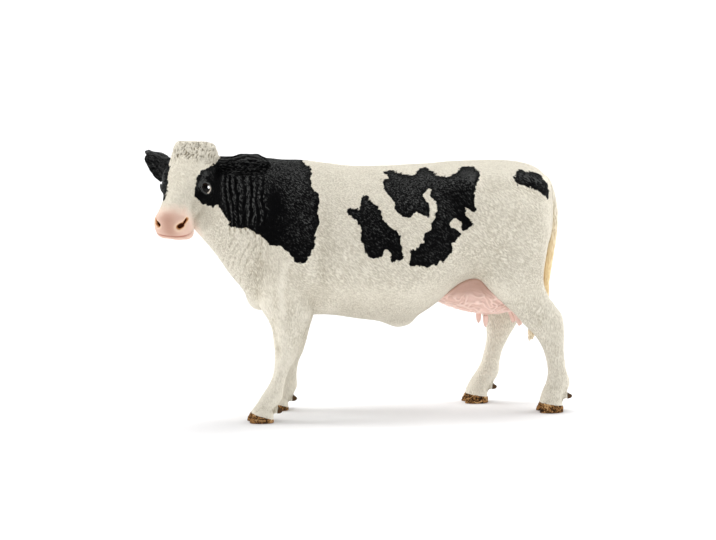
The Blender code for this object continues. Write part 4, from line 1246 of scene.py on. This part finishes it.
def eyeMaterial():
    paint = eyePaint
    finish, tree, surface, where = newMaterial("eyeGloss", paint["gloss"],
                                               Specular_IOR_Level=paint["shine"])
    streaks = maths(tree, "SUBTRACT", cloud(tree, where, paint["streakScale"], 2), 0.5)
    wavy = maths(tree, "MULTIPLY_ADD", streaks, paint["streaks"], attribute(tree, "look"))
    # the white shows only in the rear corner and along the lower lid
    rim = maths(tree, "MULTIPLY", between(tree, wavy, *paint["whiteEdge"]),
                between(tree, attribute(tree, "corner"), *paint["cornerEdge"]))
    colour = mixColours(tree, rim, paint["iris"], paint["white"])
    colour = mixColours(tree, between(tree, wavy, *paint["irisEdge"]), colour, paint["iris"])
    colour = mixColours(tree, between(tree, wavy, *paint["pupilEdge"]), colour, paint["pupil"])
    # a painted white glint, where a lamp's reflection would show
    glintDot = between(tree, attribute(tree, "paintedGlint"), *paint["paintedGlintEdge"])
    colour = mixColours(tree, glintDot, colour, (1, 1, 1, 1))
    tree.links.new(colour, surface.inputs["Base Color"])
    return finish


eyeGloss = eyeMaterial()


def headWay(shares, side):
    along, outwards, upwards = shares
    way = headForward * along + headLeft * side * outwards + headUp * upwards
    return way / np.linalg.norm(way)


def makeEye(name, side):
    radius = headPlan["eyeDiameter"] / 2 * mm * headPlan["eyeBallShare"]
    bm = bmesh.new()
    bmesh.ops.create_icosphere(bm, subdivisions=5, radius=radius)
    mesh = meshFrom(bm, name)
    points = places(mesh)
    unit = points / np.linalg.norm(points, axis=1)[:, None]
    facing = unit @ headWay(headPlan["pupilLook"], side)
    # the cornea stands a little proud of the ball
    cornea = ramp(facing, *headPlan["corneaEdge"]) * headPlan["corneaHeight"]
    points += unit * cornea[:, None] * mm
    setPlaces(mesh, points + np.array(toFrame(*eyePlace(side)[0])))
    setValues(mesh, "look", facing)
    setValues(mesh, "corner", unit @ headWay(headPlan["eyeCorner"], side))
    setValues(mesh, "paintedGlint", unit @ headWay(headPlan["paintedGlint"][side], 1))
    finished(name, mesh, None, eyeGloss)


makeEye("left_eye", 1)
makeEye("right_eye", -1)


# ears
ears = {
    "length": 16.0,
    "width": 6.2,
    "thickness": 0.85,
    "hollow": 2.3,
    "roll": 0.95,
    # share of the length, half width and bend in widths
    "left": {"root": (0.07, 0.42, -0.35), "way": (-0.21, 0.90, -0.25),
             "rows": ((-0.30, 0.26, 0.00), (-0.10, 0.30, 0.00), (0.12, 0.38, -0.01),
                      (0.34, 0.50, -0.03), (0.56, 0.54, -0.06), (0.76, 0.51, -0.07),
                      (0.90, 0.41, -0.04), (0.97, 0.27, -0.01), (1.00, 0.10, 0.00))},
    "right": {"root": (0.15, -0.48, -0.36), "way": (-0.38, -0.86, -0.26),
              "rows": ((-0.30, 0.50, 0.00), (-0.10, 0.58, 0.00), (0.12, 0.66, 0.00),
                       (0.34, 0.64, -0.05), (0.54, 0.51, -0.13), (0.72, 0.39, -0.21),
                       (0.86, 0.28, -0.25), (0.93, 0.19, -0.25), (0.96, 0.07, -0.25))},
    "breadth": (0.50, -0.87),
    "around": 96,
    "rings": 110,
    "upperRim": (0.80, 0.22),
    "lowerRim": (-0.9, 0.12, 0.12),
    "ridges": (27, 19),
    "ridgeHeight": 0.11,
    # how the ridges wander along the ear
    "ridgeSway": 4.0,
    "ridgeSways": 7,
    "ridgeDrift": 11,
    "tipSpacing": 0.8,
    "rimThinsBelow": 2,
    "cupThinsBelow": 3,
    "tipThinsBelow": 1.2,
    # how much grey each side of the ear gets: a painted highlight on the back and the rolled rim,
    # painted shade in the hollow
    "paintedLightShares": (1.1, 0.35, 1.65),
    "furSize": (2.8, 0.9, 1.4),
    "furHeight": 0.26,
    "furPaint": 0.7,
    "hairLength": 0.0012,
    "hairWidth": 0.0003,
    "hairDepth": 0.00024,
    "hairPaint": 0.75,
    "ridgePaint": 0.45,
    "brushReach": (0.42, 1.05, 0.0, 0.95),
}


def earMaterial():
    finish, tree, surface, where = newMaterial("earCoat", 0.5,
                                               Specular_IOR_Level=coatPaint["shine"])
    fine = group(tree, hairStrokes, Vector=where, Turn=(0, 0, 0), Length=ears["hairLength"],
                 Width=ears["hairWidth"])
    # the grey strokes follow the ridges and the ear's painted light and shade
    both = maths(tree, "ADD", maths(tree, "MULTIPLY", attribute(tree, "ridge"),
                                    ears["ridgePaint"]),
                 maths(tree, "MULTIPLY", fine, ears["hairPaint"]))
    brushed = between(tree, both, *ears["brushReach"])
    colour = mixColours(tree, brushed, coatPaint["black"], coatPaint["blackBrush"])
    paintOn(tree, surface, colour, fine, 1.0, ears["hairDepth"])
    return finish


earCoat = earMaterial()


def makeEar(name, side):
    plan = ears[side]
    root = onHead(*plan["root"])
    way = headWay(plan["way"], 1)
    upwards, forwards = ears["breadth"]
    wide = headUp * upwards + headForward * forwards
    wide -= way * (wide @ way)
    wide /= np.linalg.norm(wide)
    thick = np.cross(wide, way)
    if thick @ (headUp + headForward) < 0:
        thick = -thick
    rows = np.array(plan["rows"])
    spread = np.linspace(0, 1, ears["rings"]) ** ears["tipSpacing"]
    shares = spread * (rows[-1, 0] - rows[0, 0]) + rows[0, 0]
    angles = np.arange(ears["around"]) / ears["around"] * 2 * math.pi
    rimAt, rimWidth = ears["upperRim"]
    lowAt, lowWidth, lowHeight = ears["lowerRim"]
    outerPaintedLight, hollowPaintedShade, rimPaintedLight = ears["paintedLightShares"]
    bm = bmesh.new()
    loops = []
    values = []
    for share in shares:
        half = smoothRow(rows, share, 1) * ears["width"]
        bend = smoothRow(rows, share, 2) * ears["width"]
        centre = root + way * share * ears["length"] - wide * bend
        loop = []
        for angle in angles:
            across = math.cos(angle)
            inside = math.sin(angle) > 0
            cup = ears["hollow"] * across ** 2
            cup *= min(1, half / ears["cupThinsBelow"])
            # the upper rim is rolled over the hollow, the lower one is thin
            lip = ears["roll"] * math.exp(-((across - rimAt) / rimWidth) ** 2)
            lip += lowHeight * math.exp(-((across - lowAt) / lowWidth) ** 2)
            lip *= min(1, half / ears["rimThinsBelow"])
            wall = (ears["thickness"] / 2 + lip) * math.sin(angle)
            sway = ears["ridgeSway"] * math.sin(share * ears["ridgeSways"])
            ridge = math.sin(across * ears["ridges"][inside] + sway
                             + share * ears["ridgeDrift"])
            wall += (ridge * ears["ridgeHeight"] * (1 - across ** 4)
                     * math.copysign(1, math.sin(angle)))
            wall *= min(1, half / ears["tipThinsBelow"])
            point = centre + wide * across * half + thick * (cup + wall)
            loop.append(bm.verts.new(toFrame(*point)))
            # painted highlight on the back and the rim, painted shade in the hollow
            paintedLight = (rimPaintedLight if across > 0.5 else hollowPaintedShade) if inside else outerPaintedLight
            values.append((0.5 + 0.5 * ridge) * paintedLight)
        loops.append(loop)
    for one, two in zip(loops, loops[1:]):
        for k in range(len(one)):
            n = (k + 1) % len(one)
            bm.faces.new((one[k], one[n], two[n], two[k]))
    bm.faces.new(loops[0])
    bm.faces.new(loops[-1])
    bmesh.ops.recalc_face_normals(bm, faces=bm.faces)
    mesh = meshFrom(bm, name)
    points = places(mesh)
    own = (inBody(points) - root) @ np.stack([way, wide, thick], axis=1)
    fur = noise(own / np.array(ears["furSize"]), 51)
    setPlaces(mesh, points + normalsOf(mesh) * (fur * ears["furHeight"] * mm)[:, None])
    setValues(mesh, "ridge", np.array(values) + fur * ears["furPaint"])
    finished(name + "_coat", mesh, name, earCoat)


def smoothRow(rows, share, column):
    # a smooth curve through the rows of a table
    k = int(np.clip(np.searchsorted(rows[:, 0], share) - 1, 0, len(rows) - 2))
    padded = np.vstack([2 * rows[0] - rows[1], rows, 2 * rows[-1] - rows[-2]])
    a, b, c, d = padded[k:k + 4, column]
    t = float(np.clip((share - rows[k, 0]) / (rows[k + 1, 0] - rows[k, 0]), 0, 1))
    return 0.5 * (2 * b + (c - a) * t + (2 * a - 5 * b + 4 * c - d) * t ** 2
                  + (3 * b - a - 3 * c + d) * t ** 3)


makeEar("left_ear", "left")
makeEar("right_ear", "right")


# udder
udder = {
    "voxel": 0.20 * mm,
    "smoothing": 14,
    "tuck": 0.75,
    "veinSize": (6.4, 3.4, 2.5),
    "veinHeight": 0.30,
    "veinWarp": (6.0, 0.9, 1.1),
    "veinWidth": (0.12, 0.13),
    "veinsBetween": ((29.5, 31.5), (38.5, 35.5), 0.12),
    "fineVeinShare": 0.6,
    "fineVeinHeight": 0.7,
    "lumps": (3.0, 0.10),
    "surroundings": 12,
    "teats": ((0.06, 0.25), (0.40, 0.21)),
    "teatReach": 2.2,
    "teatFade": 1.2,
    "rearTeatsFrom": 5,
    # the skin above this height is smoothed fully, the bag below hardly
    "smoothFrom": (29, 32),
    "bagSmoothing": 0.12,
    "tuckFacing": (-0.25, 0.25),
    # the top of the bag, under the belly, is painted darker as shade
    "upper": (34.5, 38.5),
    "hollow": (-0.3, 0.3),
    "roughness": 0.42,
    "glow": 0.05,
    "glowDepth": (0.002, 0.001, 0.0006),
    "poreScale": 2200,
    "poreStrength": 0.25,
    "poreDepth": 0.0001,
    "wash": (0.35, 5.0),
    "veinPaint": 0.7,
    "upperPaint": 0.8,
    "middle": 36.5,
    "length": 27.0,
    "width": 17.5,
    "bottom": 30.6,
    "teatSlimness": 0.48,
    "teatSlant": 0.35,
    "skin": srgb(232, 197, 184),
    "shade": srgb(178, 140, 124),
    "vein": srgb(244, 216, 204),
}


def udderMaterial():
    finish, tree, surface, where = newMaterial("udderSkin", udder["roughness"],
                                               Subsurface_Weight=udder["glow"])
    surface.inputs["Subsurface Radius"].default_value = udder["glowDepth"]
    pores = cloud(tree, where, udder["poreScale"], 3)
    fine, deep = udder["wash"]
    washed = group(tree, paintWash, Vector=where, Hair=pores, Hollow=attribute(tree, "hollow"),
                   Fine=fine, Deep=deep)
    colour = mixColours(tree, washed, udder["skin"], udder["shade"])
    # the veins are paint; the top of the bag gets painted shade
    for place, paint in (("vein", udder["vein"]), ("upper", udder["shade"])):
        covered = maths(tree, "MULTIPLY", attribute(tree, place), udder[place + "Paint"])
        colour = mixColours(tree, covered, colour, paint)
    paintOn(tree, surface, colour, pores, udder["poreStrength"], udder["poreDepth"])
    return finish


udderSkin = udderMaterial()


def shapeTeats(body):
    # draws in what hangs round each teat's axis; the rear teats slant backwards
    best = np.full(len(body), np.inf)
    axis = np.zeros((len(body), 2))
    for along, across in udder["teats"]:
        for side in (-1, 1):
            at = np.array((udder["middle"] + along * udder["length"],
                           side * across * udder["width"]))
            gap = np.linalg.norm(body[:, :2] - at, axis=1)
            axis[gap < best] = at
            best = np.minimum(best, gap)
    near = best < udder["teatReach"]
    hanging = ramp(body[:, 2], udder["bottom"], udder["bottom"] - udder["teatFade"])
    slim = hanging * (1 - udder["teatSlimness"]) * near
    body[:, :2] += (axis - body[:, :2]) * slim[:, None]
    rear = (axis[:, 0] > udder["middle"] + udder["rearTeatsFrom"]) * near
    body[:, 0] += rear * np.maximum(udder["bottom"] - body[:, 2], 0) * udder["teatSlant"]


def makeUdder():
    mesh = clay(welded(("udder",)), "udder", udder["voxel"], 0)
    z = inBody(places(mesh))[:, 2]
    share = np.maximum(ramp(z, *udder["smoothFrom"]), udder["bagSmoothing"])
    relax(mesh, udder["smoothing"], share)
    body = inBody(places(mesh))
    shapeTeats(body)
    setPlaces(mesh, body * mm + np.array(bodyOrigin))
    points = places(mesh)
    normals = normalsOf(mesh)
    body = inBody(points)
    z = body[:, 2]
    # the upper skin is tucked into the belly
    lift = ramp(normals[:, 2], *udder["tuckFacing"]) * udder["tuck"]
    swirl, push, finePush = udder["veinWarp"]
    warp = noises(body / swirl, 41)
    size = np.array(udder["veinSize"])
    cells = np.abs(noise(body / size + warp * push, 44))
    fine = np.abs(noise(body / (size * udder["fineVeinShare"]) + warp * finePush, 45))
    width, fineWidth = udder["veinWidth"]
    vein = waves(cells, (0,), width) + udder["fineVeinHeight"] * waves(fine, (0,), fineWidth)
    low, high, least = udder["veinsBetween"]
    vein = vein * ramp(z, *low) * np.maximum(ramp(z, *high), least)
    lift += vein * udder["veinHeight"]
    swell, height = udder["lumps"]
    lift += noise(body / swell, 46) * height
    setPlaces(mesh, points + normals * lift[:, None] * mm)
    setValues(mesh, "vein", clamp(vein))
    setValues(mesh, "upper", ramp(z, *udder["upper"]))
    hollow = hollowness(mesh, udder["surroundings"])
    setValues(mesh, "hollow", np.clip(hollow, *udder["hollow"]))
    finished("udder_skin", mesh, "udder", udderSkin)


makeUdder()


# tail
tail = {
    # along, aside, up and thickness, as shares of the sizes below
    "rows": (
        (0.515, 0.00, 0.790, 1.20), (0.542, 0.00, 0.845, 1.30), (0.566, 0.00, 0.878, 1.35),
        (0.582, 0.00, 0.868, 1.20), (0.594, 0.00, 0.838, 1.05), (0.602, -0.01, 0.797, 0.96),
        (0.606, -0.02, 0.750, 0.92), (0.603, -0.04, 0.690, 0.92), (0.596, -0.05, 0.630, 0.90),
        (0.588, -0.05, 0.570, 0.90), (0.582, -0.04, 0.510, 0.88), (0.577, -0.02, 0.450, 0.88),
        (0.568, 0.00, 0.390, 0.90), (0.555, 0.00, 0.335, 1.00), (0.543, 0.00, 0.290, 0.85),
        (0.536, 0.00, 0.262, 0.50)),
    "bodySize": (100, 40, 80),
    "diameter": 2.6,
    "rings": 150,
    "ripple": 0.03,
    "ripples": 0.9,
    "locks": 46,
    "lockDiameter": 0.72,
    "lockStart": 0.70,
    "spread": 1.05,
    "turns": 0.40,
    "steps": 30,
    "sides": 12,
    "lockTip": 0.08,
    # drawn for each lock: its turn, start, end, how far it droops and how far out it lies
    "lockDraws": ((-0.15, 0.15), (0, 0.16), (0.90, 1.0), (0.2, 1.6), (0.72, 1.0)),
    "sway": (0.25, 9),
    "roughness": 0.55,
    "hairLength": 0.0022,
    "hairWidth": 0.0003,
    "hairDepth": 0.00014,
    "hairStrength": 0.5,
    "wash": 0.7,
    "seed": 7,
    "cream": srgb(252, 230, 182),
    "creamWash": srgb(222, 186, 128),
    "creamBelow": (0.066, 0.042),
    "creamEnds": (0.026, 0.036, 0.4, 1.0),
}


def tailMaterial():
    finish, tree, surface, where = newMaterial("tailCoat", tail["roughness"])
    hair = group(tree, hairStrokes, Vector=where, Turn=(0, math.radians(-90), 0),
                 Length=tail["hairLength"], Width=tail["hairWidth"])
    washed = group(tree, paintWash, Vector=where, Hair=hair, Hollow=0.0, Fine=tail["wash"])
    white = mixColours(tree, washed, coatPaint["white"], coatPaint["whiteWash"])
    cream = mixColours(tree, washed, tail["cream"], tail["creamWash"])
    height = wire(tree, "ShaderNodeSeparateXYZ", {0: where}).outputs["Z"]
    low = maths(tree, "MULTIPLY", between(tree, height, *tail["creamBelow"]),
                between(tree, height, *tail["creamEnds"]))
    paintOn(tree, surface, mixColours(tree, low, white, cream), hair, tail["hairStrength"],
            tail["hairDepth"])
    return finish


tailCoat = tailMaterial()


def sweepTree(finish):
    # a tube along every spline, as thick as the spline says
    tree = bpy.data.node_groups.new("hairSweep", "GeometryNodeTree")
    tree.interface.new_socket("Geometry", in_out="INPUT", socket_type="NodeSocketGeometry")
    sides = tree.interface.new_socket("Sides", in_out="INPUT", socket_type="NodeSocketInt")
    sides.default_value = 10
    tree.interface.new_socket("Geometry", in_out="OUTPUT", socket_type="NodeSocketGeometry")
    given = tree.nodes.new("NodeGroupInput")
    result = tree.nodes.new("NodeGroupOutput")
    profile = wire(tree, "GeometryNodeCurvePrimitiveCircle",
                   {"Resolution": given.outputs["Sides"], "Radius": 1.0})
    radius = wire(tree, "GeometryNodeInputRadius")
    swept = wire(tree, "GeometryNodeCurveToMesh",
                 {"Curve": given.outputs["Geometry"], "Profile Curve": profile.outputs[0],
                  "Scale": radius.outputs[0], "Fill Caps": True})
    smooth = wire(tree, "GeometryNodeSetShadeSmooth", {0: swept.outputs[0]})
    real = wire(tree, "GeometryNodeRealizeInstances", {0: smooth.outputs[0]})
    painted = wire(tree, "GeometryNodeSetMaterial", {0: real.outputs[0], "Material": finish})
    tree.links.new(painted.outputs[0], result.inputs[0])
    return tree, sides.identifier


def sweptMesh(name, splines, finish, sides):
    curve = bpy.data.curves.new(name, "CURVE")
    curve.dimensions = "3D"
    for points, radii in splines:
        spline = curve.splines.new("POLY")
        spline.points.add(len(points) - 1)
        for point, at, radius in zip(spline.points, points, radii):
            point.co = (*toFrame(*at), 1)
            point.radius = radius * mm
    thing = bpy.data.objects.new(name, curve)
    bpy.context.scene.collection.objects.link(thing)
    tree, sidesInput = sweepTree(finish)
    modifier = thing.modifiers.new("sweep", "NODES")
    modifier.node_group = tree
    modifier[sidesInput] = sides
    graph = bpy.context.evaluated_depsgraph_get()
    mesh = bpy.data.meshes.new_from_object(thing.evaluated_get(graph))
    bpy.data.objects.remove(thing)
    bm = bmesh.new()
    bm.from_mesh(mesh)
    bmesh.ops.remove_doubles(bm, verts=bm.verts, dist=weldGap / 10)
    bmesh.ops.recalc_face_normals(bm, faces=bm.faces)
    return meshFrom(bm, name)


def tailPoint(rows, share):
    # place and half thickness at a share of the tail's length
    at = share * (len(rows) - 1)
    table = np.hstack([np.arange(len(rows))[:, None], rows])
    *place, size = (smoothRow(table, at, k) for k in (1, 2, 3, 4))
    return np.array(place) * np.array(tail["bodySize"]), size * tail["diameter"] / 2


def switchLock(rows, k, random):
    # one lock of hair that winds round the end of the tail
    turn, start, end, drop, layer = (random.uniform(*span) for span in tail["lockDraws"])
    phase = 2 * math.pi * k / tail["locks"] + turn
    start += tail["lockStart"]
    sway, sways = tail["sway"]
    points = []
    radii = []
    for t in np.linspace(0, 1, tail["steps"]):
        at, radius = tailPoint(rows, start + (end - start) * t)
        angle = phase + tail["turns"] * 2 * math.pi * t + sway * math.sin(t * sways + k)
        bulge = math.sin(math.pi * min(1, t * 1.15)) ** 0.7 if t < 0.87 else 0.5
        reach = layer * (0.75 * radius + tail["spread"] * bulge * 0.8)
        reach *= 1 - 0.55 * max(0, (t - 0.8) / 0.2) ** 1.5
        offset = np.array((math.cos(angle), math.sin(angle), 0)) * reach
        points.append(at + offset - np.array((0.4, 0, 1)) * drop * max(0, t - 0.8) * 3)
        taper = 0.25 + math.sin(math.pi * min(1, 0.12 + t * 0.88)) ** 0.8
        radii.append(tail["lockDiameter"] / 2 * taper)
    radii[-1] = tail["lockTip"]
    return points, radii


def makeTail():
    rows = np.array(tail["rows"])
    dock = [tailPoint(rows, share) for share in np.linspace(0, 1, tail["rings"])]
    ripple = [radius * (1 + tail["ripple"] * math.sin(k * tail["ripples"]))
              for k, (_, radius) in enumerate(dock)]
    random = np.random.default_rng(tail["seed"])
    splines = [([at for at, _ in dock], ripple)]
    splines += [switchLock(rows, k, random) for k in range(tail["locks"])]
    mesh = sweptMesh("tail", splines, tailCoat, tail["sides"])
    finished("tail_coat", mesh, "tail", tailCoat)


makeTail()


# floor and light
studio = {
    "floorSize": 30.0,
    "floorColour": (0.84, 0.84, 0.85, 1),
    "floorGlow": 0.05,
    "worldLight": 0.60,
    "worldShine": 0.14,
    # where each lamp shines from, how soft it is in degrees and how strong
    "lamps": (
        ("key", (-0.18, -0.60, 0.80), 25, 0.10),
        ("top", (0.0, 0.16, 1.0), 28, 1.50),
        ("front", (-0.20, -1.0, 0.12), 35, 0.26),
        ("edge", (0.95, 0.15, 0.30), 60, 1.90),
        ("farEdge", (-0.90, 0.35, 0.30), 26, 1.70),
        # from under the paper, which lets it through
        ("under", (-0.10, -0.60, -1.0), 80, 0.85),
    ),
}


def makeFloor():
    bm = bmesh.new()
    bmesh.ops.create_grid(bm, x_segments=1, y_segments=1, size=studio["floorSize"] / 2)
    floor = bpy.data.objects.new("floor", meshFrom(bm, "floor"))
    bpy.context.scene.collection.objects.link(floor)
    finish, tree, surface = newMaterial("floorPaper", 1.0, Specular_IOR_Level=0.0)[:3]
    surface.inputs["Base Color"].default_value = studio["floorColour"]
    path = wire(tree, "ShaderNodeLightPath")
    seen = maths(tree, "MAXIMUM", path.outputs["Is Camera Ray"], path.outputs["Is Glossy Ray"])
    seen = maths(tree, "MAXIMUM", seen, path.outputs["Is Transmission Ray"])
    strength = maths(tree, "MULTIPLY", seen, studio["floorGlow"])
    glow = wire(tree, "ShaderNodeEmission", {"Color": (1, 1, 1, 1), "Strength": strength})
    both = wire(tree, "ShaderNodeAddShader", {0: surface.outputs[0], 1: glow.outputs[0]})
    tree.links.new(both.outputs[0], tree.nodes["Material Output"].inputs["Surface"])
    floor.data.materials.append(finish)
    floor.visible_shadow = False


def makeWorld():
    world = bpy.data.worlds.new("studio")
    world.use_nodes = True
    tree = world.node_tree
    sky = tree.nodes["Background"]
    sky.inputs["Color"].default_value = (1, 1, 1, 1)
    path = wire(tree, "ShaderNodeLightPath")
    seen = maths(tree, "MAXIMUM", path.outputs["Is Camera Ray"],
                 path.outputs["Is Transmission Ray"])
    dim = between(tree, path.outputs["Is Glossy Ray"], 0.0, 1.0, studio["worldLight"],
                  studio["worldShine"])
    strength = wire(tree, "ShaderNodeMix", {0: seen, 2: dim, 3: 1.0}, data_type="FLOAT")
    tree.links.new(strength.outputs[0], sky.inputs["Strength"])
    bpy.context.scene.world = world


def makeLamps():
    for name, place, softness, power in studio["lamps"]:
        data = bpy.data.lights.new(name, "SUN")
        data.angle = math.radians(softness)
        data.energy = power
        lamp = bpy.data.objects.new(name, data)
        lamp.location = place
        lamp.rotation_euler = (-Vector(place)).to_track_quat("-Z", "Y").to_euler()
        bpy.context.scene.collection.objects.link(lamp)


makeFloor()
makeWorld()
makeLamps()
bpy.context.scene.view_settings.view_transform = "Standard"
print("floor, world and lamps made")
